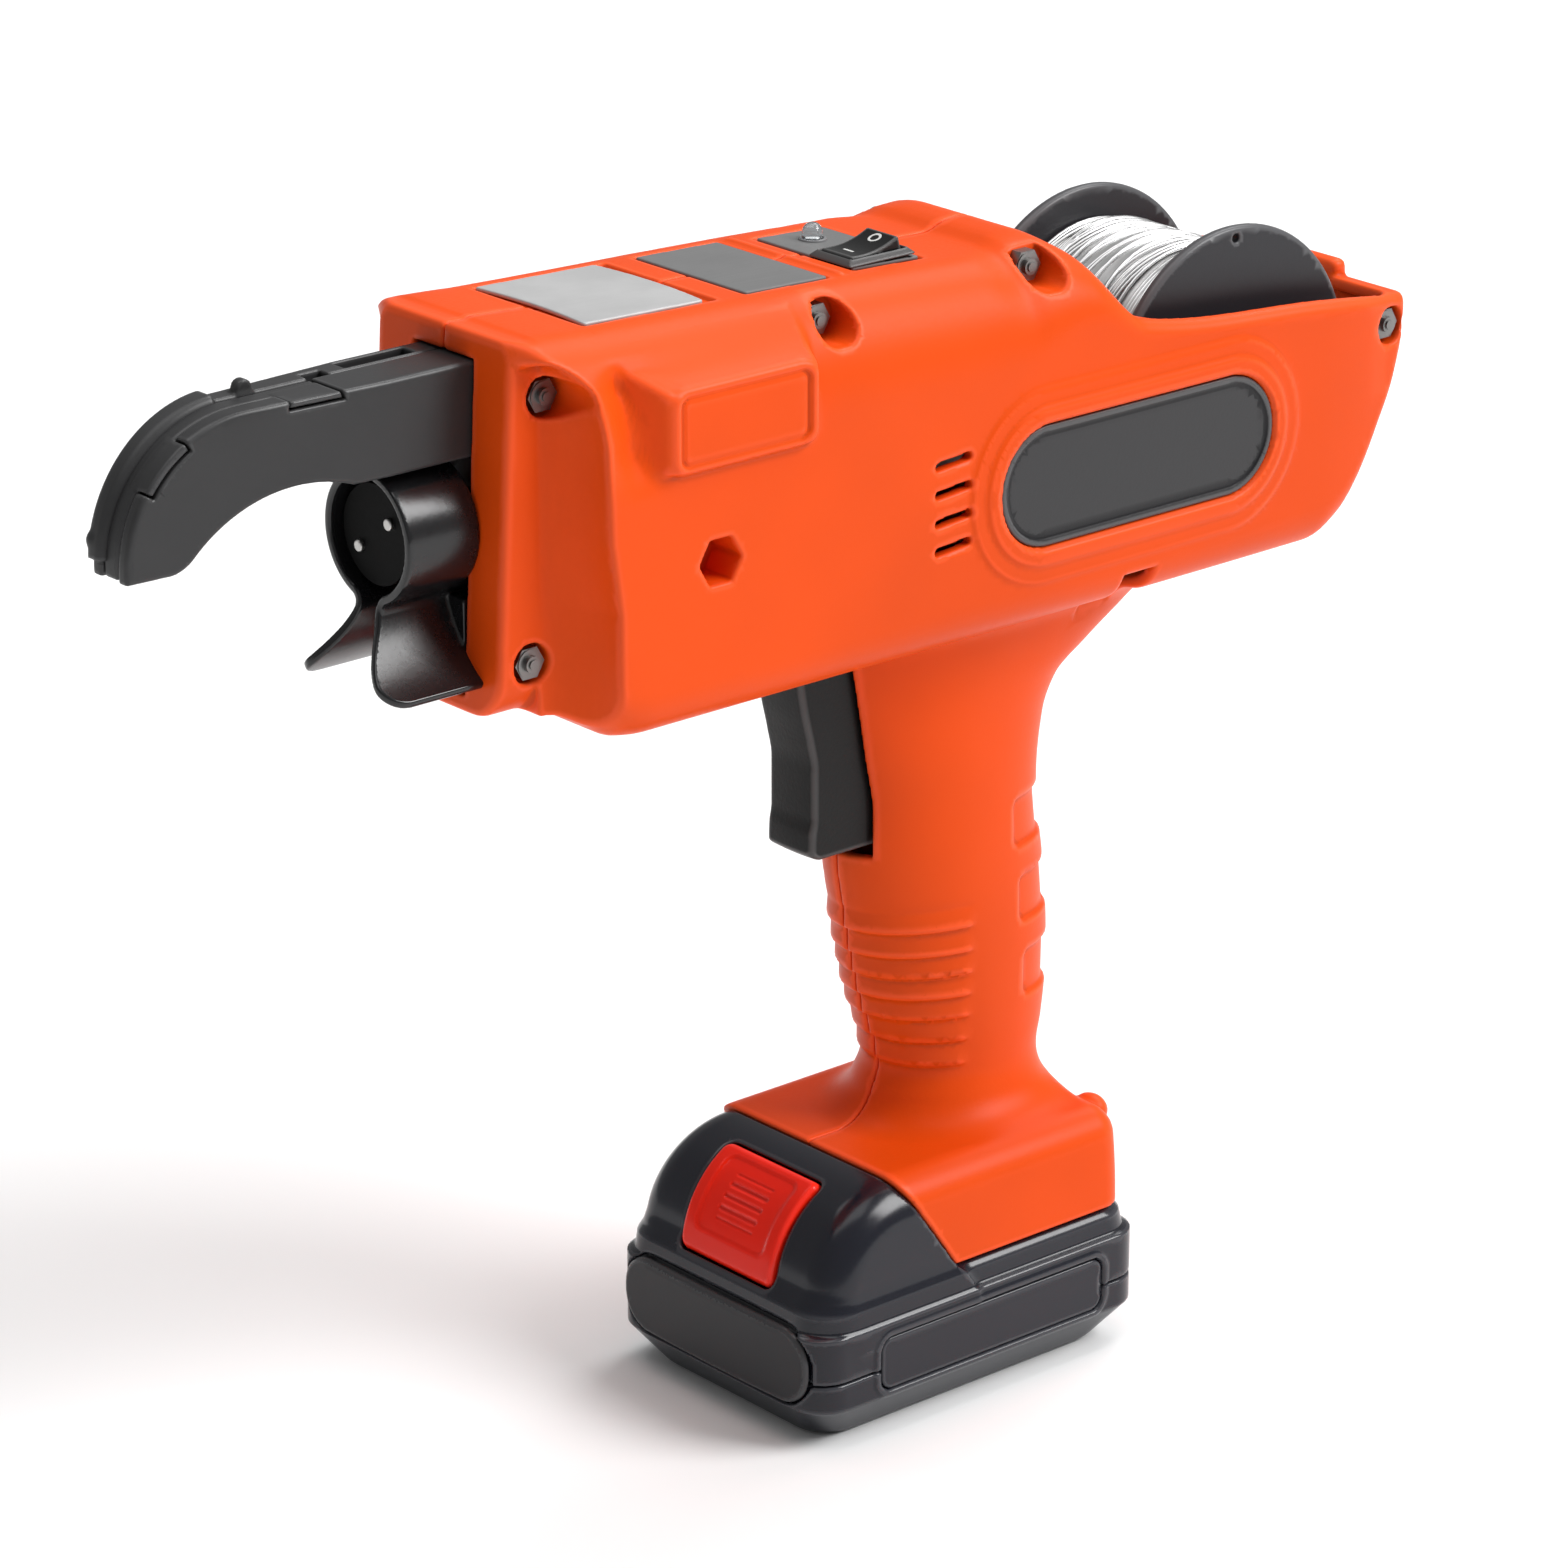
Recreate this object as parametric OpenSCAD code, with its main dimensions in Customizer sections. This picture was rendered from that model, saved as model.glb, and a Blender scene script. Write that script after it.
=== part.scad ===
// Cordless rebar tying tool: casing halves, claw, twister, wire feed, spool and slide-on battery.
// +Z is up, the nose points to -X, and the origin is the middle of the battery's underside.

/* [Casing] */
// Width of the body across its sides
body_w = 61; // [58:0.5:66]
// Width of the narrow nose
nose_w = 37; // [36:0.5:42]
// Wall of the moulded casing
wall = 2.5; // [2:0.1:2.8]
// Height of the deck at the nose
deck_z = 223.5; // [210:0.5:235]
// Height of the body from its underside to the deck
body_h = 73.5; // [73.1:0.1:76]
// Drop from the deck to the rim of the spool bay
rim_drop = 19.5; // [17.5:0.5:27.5]
// Front of the nose at deck height
nose_x = -100.4; // [-106:0.2:-100.2]
// Lean of the nose face in degrees, foot of the face forward
nose_tilt = 3.2; // [1:0.1:4]
// Rear end of the tail
tail_x = 107.3; // [106.5:0.1:116]
// Width of the hand grip
grip_w = 31; // [30:0.5:36]
// Width of the foot that takes the battery
foot_w = 57; // [54:0.5:59]
// Length and height of the name plates
plate_len = 69; // [50:0.5:72]
plate_h = 23.5; // [16:0.5:26]
// Spacing of the vent slots
vent_pitch = 5.3; // [4:0.1:6]
// Across the flats of the hexagonal pocket in the side
hex_af = 8; // [6:0.5:10]

/* [Spool] */
// Outer radius of the spool's flanges
spool_r = 30; // [27:0.5:30.2]
// Width of the spool over its flanges
spool_w = 41.8; // [36:0.2:46]
// Thickness of a flange
flange_t = 2.5; // [1.5:0.1:3.5]
// Radius of the spool's hub
hub_r = 12; // [9:0.5:15]
// Spool centre behind the origin
spool_x = 68; // [67.5:0.5:71]
// Spool centre below the deck
spool_drop = 39.5; // [36.5:0.1:39.7]
// Radius of the axle under the spool
axle_r = 5; // [3:0.25:6]
// Radius of the wire already wound on, at the flanges
pack_r = 23.2; // [18:0.2:25]
// Swell of the wound wire at the middle
pack_swell = 1; // [0:0.1:2]
// Diameter of a drawn turn of wire
wire_d = 0.95; // [0.6:0.05:1]
// Turns in the outer layer
wire_loops = 22; // [12:1:22]

/* [Twister] */
// Twist axis below the deck
twist_drop = 35; // [34.7:0.1:35.7]
// Radius of the twist motor
motor_r = 18; // [15:0.5:18.4]
// Length of the twist motor
motor_len = 50; // [40:0.5:51]
// Length of the twist gearbox
gearbox_len = 28; // [20:0.5:32]
// Radius of the twist shaft
shaft_r = 4; // [3:0.25:4.5]
// Radius of the disc that carries the hooks
head_r = 9; // [7:0.25:9.6]
// Radius of a hook pin
hook_r = 1; // [0.8:0.1:1.5]
// Outer radius and width of the twist bearing
bearing_r = 11; // [8:0.25:11]
bearing_w = 7; // [5:0.5:8]

/* [Claw] */
// Width of the claw at the nose
claw_w = 16; // [14:0.2:17]
// Width of the claw at its tip
claw_tip_w = 10; // [8:0.2:13]
// Reach of the claw in front of the nose
claw_reach = 70; // [64:0.5:76]
// Claw's back below the deck
claw_drop = 5.5; // [5.3:0.1:7]
// Underside of the claw's root above the twist axis
claw_rise = 12.5; // [12.4:0.1:15.5]
// Radius of the throat that goes round the bars
throat_r = 30; // [27:0.5:33]
// Width of the wire track between the claw's plates
track_w = 4.4; // [3:0.1:6]
// Depth of the groove under the track
groove = 3; // [1.5:0.1:4]

/* [Guard] */
// Outer radius of the guard's ring
guard_r = 12; // [11.4:0.1:12.2]
// Wall of the guard
guard_wall = 1.6; // [1.2:0.1:2]
// Length of the guard in front of the nose
guard_len = 14; // [11:0.5:18]
// Height of the twist axis above the centres of the legs' flare
flare_drop = 17.5; // [16:0.1:19]
// Radius of the flare of the legs
flare_r = 9.7; // [9:0.1:11]
// Angle at which the flare of the legs ends
flare_end = 76; // [60:1:85]
// How far the legs reach in front of the ring
leg_reach = 3.7; // [2:0.1:5]

/* [Feed] */
// Wire's line below the deck
wire_drop = 13.5; // [13.1:0.1:13.7]
// Feed rollers behind the origin
feed_x = 19; // [18.8:0.1:20]
// Teeth of a feed gear
gear_teeth = 14; // [12:2:16]
// Module of the feed gears
gear_module = 1; // [0.9:0.05:1]
// Thickness of a feed roller
roller_h = 4; // [3:0.1:4.2]
// Gap between the rollers where the wire runs
nip = 0.8; // [0.6:0.05:1.2]
// Radius of the feed motor
feed_motor_r = 12; // [9:0.25:12.2]
// Radius of the rollers' shafts
feed_shaft_r = 2; // [1.5:0.1:2.5]
// Outer radius of the wire tube
tube_r = 2; // [1.5:0.05:2.2]

/* [Trigger and switch] */
// Width of the trigger
trigger_w = 13; // [10:0.2:15]
// How far the trigger stands in front of the grip
trigger_out = 9.5; // [7:0.1:11]
// Length and width of the rocker's bezel
bezel_len = 16; // [13:0.1:17]
bezel_w = 11.6; // [9:0.1:13]
// Tilt of the rocker at rest in degrees
rocker_tilt = 10; // [6:0.5:12]

/* [Battery] */
// Length of the battery beyond each end of its cells
cell_room = 9; // [8:0.1:12]
// Width of the battery
batt_w = 60; // [59.6:0.2:68]
// Height of the battery's flat top under the foot
batt_h = 28.2; // [26:0.2:30]
// Height of the seam between tray and cover
batt_split = 13.5; // [10:0.1:16]
// Wall of the battery case
batt_wall = 2; // [1.6:0.1:2.2]
// Diameter, length and number of the cells
cell_d = 18.4; // [17.5:0.1:18.4]
cell_len = 65; // [60:0.5:66]
cell_count = 3; // [2:1:3]
// Radius of the dome in front of the foot
dome_r = 20; // [18:0.5:22]
// Width of the latch button
button_w = 26; // [20:0.5:30]
// Travel of the latch button
button_travel = 2; // [1:0.1:2.5]

/* [Fasteners] */
// Radius of a casing screw
screw_r = 1.5; // [1.2:0.1:1.6]
// Across the flats of a casing nut
nut_af = 5.5; // [5:0.1:6]
// Thickness of a casing nut
nut_t = 2.4; // [2:0.1:2.8]

/* [Fits] */
// Radial clearance of a turning fit
run_fit = 0.05; // [0.02:0.01:0.1]
// Gap at a seat between fixed pieces
seat = 0.1; // [0.05:0.01:0.25]

/* [Hidden] */
$fn = 48;

orange = "#f15a22";
black = "#1d1d1f";
charcoal = "#33343c";
steel = "#b9bcc0";
grey = "#77797d";
brass = "#b08d3c";

belly_z = deck_z - body_h;
rim_z = deck_z - rim_drop;
spool_z = deck_z - spool_drop;
twist_z = deck_z - twist_drop;
claw_top_z = deck_z - claw_drop;
claw_root_z = twist_z + claw_rise;
wire_z = deck_z - wire_drop;

body_half = body_w / 2;
nose_half = nose_w / 2;

// Stations along the body: place, half width, underside, top, lower corner, upper corner across and down
nose_flat = 8.4;
flank = 9;
flank_x = nose_x + nose_flat;
hump_x = 14;
hump_z = deck_z - 1.7;
bay_x = 37;
rim_fall = 0.116;
tail_drop = tail_x - 84;
function rim_at(x) = rim_z - rim_fall * (x - bay_x);
body_rows = [
    [nose_x - 6, nose_half, belly_z + 5, deck_z, 10, 4, 4],
    [flank_x, nose_half, belly_z + 5, deck_z - 0.4, 10, 4, 5],
    [flank_x + flank * 0.45, nose_half + 3, belly_z + 3, deck_z - 0.6, 10, 6, 8],
    [flank_x + flank * 0.9, body_half - 1, belly_z + 0.6, deck_z - 1, 9, 13, 18],
    [flank_x + flank + 5, body_half, belly_z, deck_z - 1.2, 9, 14.5, 20],
    [-22, body_half, belly_z, deck_z - 3, 9, 14.5, 20],
    [hump_x - 12, body_half, belly_z, deck_z - 4, 9, 14.5, 19],
    [hump_x - 5, body_half, belly_z, hump_z - 1.2, 9, 18, 17],
    [hump_x, body_half, belly_z, hump_z, 9, 20, 16],
    [hump_x + 10, body_half, belly_z, hump_z - 4.3, 9, 14, 12],
    [bay_x, body_half, belly_z, rim_z, 9, 3, 3],
    [tail_x - tail_drop, body_half - 0.5, belly_z, rim_at(tail_x - tail_drop), 9, 3, 3],
    [tail_x - tail_drop * 0.74, body_half - 0.8, belly_z + 2.5, rim_at(tail_x - tail_drop * 0.74), 9, 3, 3],
    [tail_x - tail_drop * 0.53, body_half - 1.2, belly_z + 7.5, rim_at(tail_x - tail_drop * 0.53), 9, 3, 3],
    [tail_x - tail_drop * 0.31, body_half - 1.8, belly_z + 16.5, rim_at(tail_x - tail_drop * 0.31), 8, 3, 3],
    [tail_x - tail_drop * 0.155, body_half - 2.2, belly_z + 25, rim_at(tail_x - tail_drop * 0.155), 6, 3, 3],
    [tail_x - tail_drop * 0.05, body_half - 2.6, belly_z + 33.5, rim_at(tail_x), 5, 3, 3],
    [tail_x, body_half - 3, belly_z + 39.5, rim_at(tail_x), 2, 2, 2]];
function deck_at(x) = lookup(x, [for (r = body_rows) [r[0], r[3]]]);

// Stations up the foot and grip: height, front, rear, half width, squareness at the rear and at the front
foot_z = batt_h + 0.3;
foot_top = batt_h + 18.8;
foot_half = foot_w / 2;
grip_half = grip_w / 2;
foot_rear = 38;
function grip_at(z) = foot_top + (z - 47) * (belly_z - foot_top) / 104;
grip_rows = [
    [foot_z, -6, foot_rear - 1, foot_half, 0.24, 0.16],
    [foot_z + 11.5, -13.5, foot_rear, foot_half - 0.5, 0.26, 0.16],
    [foot_top - 2, -16.7, foot_rear, foot_half - 1.6, 0.3, 0.18],
    [foot_top, -18, foot_rear - 0.5, foot_half - 2.6, 0.36, 0.22],
    [foot_top + 1, -14.5, foot_rear - 1, foot_half - 7, 0.5, 0.5],
    [grip_at(50), -8.7, 35.3, grip_half + 1.8, 0.7, 0.8],
    [grip_at(54), -2.1, 33.9, grip_half - 0.2, 0.8, 1],
    [grip_at(59), -0.9, 34.3, grip_half - 0.8, 0.84, 1],
    [grip_at(64), -1.9, 35.4, grip_half - 0.6, 0.84, 1],
    [grip_at(72), -4.9, 36.4, grip_half - 0.2, 0.84, 1],
    [grip_at(81), -7.3, 36.6, grip_half, 0.84, 1],
    [grip_at(92), -9.7, 36, grip_half, 0.84, 1],
    [grip_at(104), -11.5, 34.4, grip_half, 0.84, 1],
    [grip_at(114), -11.7, 33.5, grip_half - 0.2, 0.82, 1],
    [grip_at(126), -14, 35, grip_half - 0.2, 0.8, 1],
    [grip_at(133), -15.4, 38.5, grip_half, 0.78, 1],
    [grip_at(139), -16.8, 47, grip_half + 0.5, 0.74, 1],
    [grip_at(145), -18, 56, grip_half + 1.5, 0.7, 1],
    [belly_z, -18.7, 63, grip_half + 3, 0.66, 0.9],
    [belly_z + 6, -19, 65, grip_half + 4, 0.66, 0.9]];

// Places of the casing screws, along and up, and how far out each nut seat lies
nose_low = [nose_x + 3.4, belly_z + 15.7];
nose_high = [nose_x + 7, claw_top_z - 5.2];
deck_front = [-34.8, deck_at(-34.8) - 5.2];
deck_rear = [15.4, deck_at(15.4) - 5];
tail_hole = [tail_x - 4.6, spool_z + 6.2];
nose_seat = nose_half - nut_t - 0.6;
deck_seat = body_half - 10.5;
tail_seat = body_half - nut_t - 3.4;
screw_places = [[nose_low, nose_seat], [nose_high, nose_seat], [deck_front, deck_seat],
    [deck_rear, deck_seat], [tail_hole, tail_seat]];
boss_r = screw_r + 2.1;

// Places on the sides: name plate, first vent and hexagonal pocket
plate_mid = [35, belly_z + 28];
vent_place = [-10.5, belly_z + 37];
hex_place = [-64.6, belly_z + 30.2];
pocket_r = nut_af / 2 + 0.85;

// Frame, twister and motor along the twist axis
frame_front = nose_x + 6.5;
frame_rear = frame_front + 11.8;
frame_half = nose_seat - 1.2;
frame_floor = belly_z + 11.6;
bearing_x = frame_rear - 2 - bearing_w;
gearbox_x = frame_rear + 8;
motor_x = gearbox_x + gearbox_len;
guard_front = nose_x - 3.4 - guard_len;
guard_rear = nose_x - 3.4;
head_x = guard_rear - guard_len + 2;
rib_t = 2.5;
rib_places = [gearbox_x + 12, motor_x + 13, motor_x + motor_len - rib_t - 0.2];

// Feed unit
gear_r = gear_teeth * gear_module / 2;
roller_r = gear_r - nip / 2;
roller_z = wire_z - roller_h / 2;
gear_t = 2.5;
gear_z = roller_z - 0.4 - gear_t;
bracket_t = 2.6;
bracket_z = gear_z - 0.4 - bracket_t;
bracket_half = body_half - 6.5;
feed_box_len = 16;
feed_box_z = bracket_z - feed_box_len;

// Control board under the motor
board_z = belly_z + wall + 6;
board_half = 20;
board_t = 1.6;

// Battery and its rails
batt_len = cell_len + 2 * cell_room;
batt_half = batt_w / 2;
batt_end = batt_len / 2;
toe = 8;
toe_in = 5.5;
dome_c = [-18, batt_h - 1];
rail_half = 20;
tower_half = 16;
rail_z = batt_h + 8.6;
rail_top = rail_z + 4;
tower_rear = 26;
cell_pitch = cell_d + 0.2;
cell_z = batt_wall + 0.3 + cell_d / 2;
link_half = cell_pitch * (cell_count - 1) / 2 + 4;
press_a = 141.5;
button_half = 9.3;
button_depth = 5.5;
press_gap = 0.3;

// Prisms on an outline: across the tool (outline along and up) and along it (outline across and up)
module across(y0, y1) {
    translate([0, y1, 0]) rotate([90, 0, 0]) linear_extrude(y1 - y0) children();
}
module along(x0, x1) {
    translate([x0, 0, 0]) rotate([90, 0, 90]) linear_extrude(x1 - x0) children();
}
module block(x, y, z) {
    translate([x[0], y[0], z[0]]) cube([x[1] - x[0], y[1] - y[0], z[1] - z[0]]);
}
module rod_x(x0, x1, y, z, r) {
    translate([x0, y, z]) rotate([0, 90, 0]) cylinder(h = x1 - x0, r = r);
}
module rod_y(x, y0, y1, z, r) {
    translate([x, y0, z]) rotate([-90, 0, 0]) cylinder(h = y1 - y0, r = r);
}
module mirrored_y() {
    children();
    mirror([0, 1, 0]) children();
}
module stadium(len, h) {
    square([len - h, h], center = true);
    for (s = [-1, 1]) translate([s * (len - h) / 2, 0]) circle(d = h);
}

// A closed skin through rings of equal counts
module loft(rings) {
    n = len(rings[0]);
    m = len(rings);
    points = [for (r = rings) each r];
    sides = [for (i = [0 : m - 2], j = [0 : n - 1]) let (k = (j + 1) % n)
        each [[i * n + j, (i + 1) * n + k, i * n + k], [i * n + j, (i + 1) * n + j, (i + 1) * n + k]]];
    first = [for (j = [0 : n - 1]) j];
    last = [for (j = [n - 1 : -1 : 0]) (m - 1) * n + j];
    polyhedron(points, concat(sides, [first, last]));
}

function corner(y, z, ry, rz, a0) = [for (i = [0 : 3]) let (a = a0 + 30 * i) [y + ry * cos(a), z + rz * sin(a)]];
function half_section(w, low, top, lr, uy, uz) = concat(
    corner(w - lr, low + lr, lr, lr, -90), corner(w - uy, top - uz, uy, uz, 0));
function body_ring(r, t) = let (
    h = half_section(r[1] - t, r[2] + t, r[3] - t, max(r[4] - t, 1), max(r[5] - t, 1), max(r[6] - t, 1)))
    concat([for (p = h) [r[0], p[0], p[1]]],
        [for (i = [len(h) - 1 : -1 : 0]) [r[0], -h[i][0], h[i][1]]]);
function drawn_in(rows, t) = t == 0 ? rows : let (n = len(rows) - 2) [for (i = [0 : n]) let (r = rows[i])
    i == n ? concat([tail_x - t], [for (k = [1 : 6]) r[k]]) : r];

// Body and nose, drawn in by t all round
module body_form(t) {
    difference() {
        loft([for (r = drawn_in(body_rows, t)) body_ring(r, t)]);
        translate([nose_x + t, 0, deck_z]) rotate([0, nose_tilt, 0])
            translate([-40, -60, -120]) cube([40, 120, 160]);
    }
}

function sign_pow(v, e) = sign(v) * pow(abs(v), e);
function grip_ring(r, t, dz) = let (mid = (r[1] + r[2]) / 2, a = (r[2] - r[1]) / 2 - t, b = r[3] - t)
    [for (i = [0 : 19]) let (q = 360 * (i + 0.5) / 20, e = cos(q) > 0 ? r[4] : r[5])
        [mid + a * sign_pow(cos(q), e), b * sign_pow(sin(q), e), r[0] + dz]];

// Foot and grip, drawn in by t, with the ends run on by t so that the hollow opens
module grip_form(t) {
    last = len(grip_rows) - 1;
    loft([for (i = [0 : last]) grip_ring(grip_rows[i], t, i == 0 ? -t : i == last ? t : 0)]);
}

module screw_holes(r, y0, y1) {
    for (s = screw_places) rod_y(s[0][0], y0, y1, s[0][1], r);
}

module cradle(x) {
    intersection() {
        body_form(wall / 2);
        block([x, x + rib_t], [-body_half, body_half], [belly_z, hump_z]);
    }
}

// What is cut out of both halves of the casing
module casing_cuts() {
    slot_half = claw_w / 2 + 0.2;
    block([nose_x - 20, frame_front - 2], [-slot_half, slot_half], [belly_z + 9, claw_top_z + 0.4]);
    block([bay_x + 1, tail_x - 4.5], [-body_half + wall + 1, body_half - wall - 1], [spool_z - 6, hump_z + 9]);
    rod_x(bay_x - 9, bay_x + 4, 0, wire_z, 4 + seat);
    trigger_slot = trigger_w / 2 + 0.4;
    block([-45, 3.5], [-trigger_slot, trigger_slot], [grip_at(105), belly_z + wall + 1]);
    block([-40, foot_rear - wall], [-rail_half - 0.4, rail_half + 0.4], [rail_z - 0.4, rail_top + 0.6]);
    block([-40, foot_rear - wall], [-tower_half - 0.4, tower_half + 0.4], [foot_z - 1, rail_z]);
    block([brake_pin_x - 7.4, brake_pin_x + 0.3], [-body_half - 1, -16.8], [belly_z - 1, belly_z + 6]);
    deck_plates(seat);
    switch_body(seat);
    led_body(seat);
    mirrored_y() {
        for (s = screw_places) rod_y(s[0][0], s[1], body_half + 5, s[0][1], pocket_r);
        for (i = [0 : 3])
            across(body_half - wall - 2, body_half + 3)
                translate([vent_place[0], vent_place[1] - vent_pitch * i]) hull() for (s = [-1, 1])
                    translate([s * 3.4, s * 0.3]) circle(r = 1, $fn = 16);
        rod_hex(hex_place[0], hex_place[1]);
        across(body_half - 0.8, body_half + 3) plate_outline(seat);
    }
    screw_holes(screw_r + seat, -body_half, body_half);
    rod_y(spool_x, -body_half + 1, body_half - 1, spool_z, axle_r + 0.3);
    rod_y(trigger_pin_x, -10, 10, trigger_pin_z, 1.5 + seat);
    rod_y(brake_pin_x, -bay_half, -12, brake_pin_z, 1.5 + seat);
}

module rod_hex(x, z) {
    translate([x, body_half - wall - 4, z]) rotate([-90, 0, 0])
        cylinder(h = wall + 8, r = hex_af / 2 / cos(30), $fn = 6);
}

module plate_outline(grow) {
    translate(plate_mid) stadium(plate_len + 2 * grow, plate_h + 2 * grow);
}

// Raised pads, rims and rails on and in the casing
module casing_adds() {
    mirrored_y() {
        hull() {
            block([-76, -44], [20, body_half + 1.5], [deck_z - 25, deck_z - 11]);
            block([-86, -41], [20, body_half - 8], [deck_z - 25.5, deck_z - 4.5]);
        }
        across(body_half - 1, body_half + 0.8) translate(plate_mid) stadium(plate_len + 9, plate_h + 9);
        intersection() {
            block([-4, foot_rear - 1], [tower_half - 1, foot_half + 1], [foot_z + 0.3, rail_z + 1]);
            grip_form(wall / 2);
        }
        intersection() {
            block([feed_x - 9, feed_x + 9], [bracket_half - 3.5, body_half], [bracket_z - 4, bracket_z]);
            body_form(wall / 2);
        }
        intersection() {
            body_form(wall / 2);
            union() {
                rod_y(spool_x, spool_w / 2 + 0.8, body_half, spool_z, axle_r + 3);
                rod_y(nose_low[0], claw_w / 2 + 0.2, body_half, nose_low[1], frame_front - nose_low[0] - 0.2);
                rod_y(nose_high[0], frame_half + seat, body_half, nose_high[1], boss_r + 1);
            }
        }
        intersection() {
            grip_form(wall / 2);
            rod_y(trigger_pin_x, trigger_w / 2 + 0.4, grip_half + 6, trigger_pin_z, 3.6);
        }
        intersection() {
            grip_form(wall / 2);
            rod_y(switch_hole[0], switch_half + seat, grip_half + 6, switch_hole[1], 3);
        }
        intersection() {
            grip_form(wall / 2);
            block([block_x, foot_rear], [terminal_half + seat, foot_half], [rail_top + 0.6, foot_top]);
        }
    }
    difference() {
        union() {
            for (x = rib_places) cradle(x);
            cradle(bay_x - rib_t - 0.3);
        }
        rod_x(gearbox_x, motor_x + motor_len + 0.5, 0, twist_z, (motor_r + seat) / cos(180 / $fn));
        rod_x(gearbox_x, bay_x, 0, wire_z, tube_r + seat);
        block([-90, 30], [-board_half - seat, board_half + seat], [board_z - seat, board_z + board_t + seat]);
        block([bay_x - 8, bay_x + 2], [-8, 8], [wire_z - 4, hump_z]);
    }
    intersection() {
        body_form(wall / 2);
        union() {
            rod_y(brake_pin_x, -body_half, brake_y - 0.3, brake_pin_z, 4);
            for (p = [tail_hole, deck_front, deck_rear]) rod_y(p[0], -body_half, body_half, p[1], boss_r);
        }
    }
}

module casing($fn = 24) {
    difference() {
        union() {
            difference() {
                union() {
                    body_form(0);
                    grip_form(0);
                }
                body_form(wall);
                grip_form(wall);
            }
            casing_adds();
        }
        casing_cuts();
    }
}
module left_shell() color(orange) intersection() {
    casing();
    block([-200, 200], [-80, 0], [0, 300]);
}
module right_shell() color(orange) intersection() {
    casing();
    block([-200, 200], [0, 80], [0, 300]);
}

// Cast frame inside the nose: cheeks beside the claw's root and a seat for the twist bearing
module front_frame() color(steel) difference() {
    union() {
        block([frame_front, frame_rear], [-frame_half, frame_half], [frame_floor, claw_top_z + 1.2]);
        block([frame_front - 3.6, frame_front + 1], [-frame_half, frame_half], [claw_root_z - 1, claw_top_z + 1.2]);
    }
    block([frame_front - 9, frame_rear + 1], [-claw_w / 2 - seat, claw_w / 2 + seat],
        [claw_root_z - seat, claw_top_z + 3]);
    rod_x(frame_front - 9, frame_rear - 2, 0, twist_z, bearing_r + run_fit);
    rod_x(frame_front - 9, frame_rear + 1, 0, twist_z, shaft_r + 2);
    rod_y(nose_high[0], -frame_half - 1, frame_half + 1, nose_high[1], screw_r + seat);
}

// Side outline of the claw: straight back, round nose, hooked tip and open throat
tip_x = nose_x - claw_reach;
tip_z = claw_top_z - 25.8;
back_r = 24.5;
back_x = tip_x + back_r;
back_c = [back_x, claw_top_z - back_r];
claw_end = frame_rear - 0.1;
throat_c = [nose_x - 35.6, claw_root_z + 2 - throat_r];
tip_w = 11.3;
root_x = nose_x - 26;
function claw_outline(lift) = concat(
    [[claw_end, claw_root_z], [claw_end, claw_top_z]],
    [for (i = [0 : 8]) let (a = 90 + 11.25 * i) [back_c[0] + back_r * cos(a), back_c[1] + back_r * sin(a)]],
    [[tip_x, tip_z], [tip_x + tip_w - lift, tip_z]],
    [for (i = [0 : 8]) let (
        a0 = 180 - acos((throat_c[0] - tip_x - tip_w) / throat_r),
        a1 = acos((root_x - throat_c[0]) / throat_r),
        a = a0 + (a1 - a0) * i / 8)
        [throat_c[0] + (throat_r + lift) * cos(a), throat_c[1] + (throat_r + lift) * sin(a)]],
    [[root_x + 2, claw_root_z]]);
rivet_places = [[nose_x - 20, claw_top_z - 7], [nose_x - 42, claw_top_z - 6], [tip_x + 8, tip_z + 9]];
rivet_r = 1.2;

// One layer of the claw, thinned towards the tip
module claw_layer(y0, y1, lift) difference() {
    intersection() {
        across(y0, y1) polygon(claw_outline(lift));
        translate([0, 0, claw_top_z - 60]) linear_extrude(90) polygon([
            [claw_end + 1, -claw_w / 2], [nose_x - 18, -claw_w / 2], [tip_x - 1, -claw_tip_w / 2],
            [tip_x - 1, claw_tip_w / 2], [nose_x - 18, claw_w / 2], [claw_end + 1, claw_w / 2]]);
    }
    rod_y(nose_high[0], -claw_w, claw_w, nose_high[1], screw_r + seat);
    for (p = rivet_places) rod_y(p[0], -claw_w, claw_w, p[1], rivet_r);
}
module claw_near_plate() color(black) claw_layer(-claw_w / 2, -track_w / 2, 0);
module claw_track() color(grey) claw_layer(-track_w / 2, track_w / 2, groove);
module claw_far_plate() color(black) claw_layer(track_w / 2, claw_w / 2, 0);
module claw_rivets() color(steel) for (i = [0 : len(rivet_places) - 1]) {
    p = rivet_places[i];
    half = i == 2 ? claw_tip_w / 2 + 0.4 : claw_w / 2 - 1.2 * i;
    rod_y(p[0], -half, half, p[1], rivet_r);
}

// Guard: open ring round the twist head, flared legs below, and a tongue that the nose screw clamps.
// The flare runs on from the ring without a break where their circles touch.
ring_mid = guard_r - guard_wall / 2;
flare_mid = flare_r + guard_wall / 2;
flare_c = [sqrt(pow(ring_mid + flare_mid, 2) - pow(flare_drop, 2)), twist_z - flare_drop];
meet_a = asin(flare_drop / (ring_mid + flare_mid));
function arc(c, r, from, to, last = 0) = let (n = ceil(abs(to - from) / 6))
    [for (i = [0 : n - 1 + last]) let (t = from + (to - from) * i / n) c + r * [cos(t), sin(t)]];
function mirrored(rim) = [for (i = [len(rim) - 1 : -1 : 0]) [-rim[i][0], rim[i][1]]];
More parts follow.
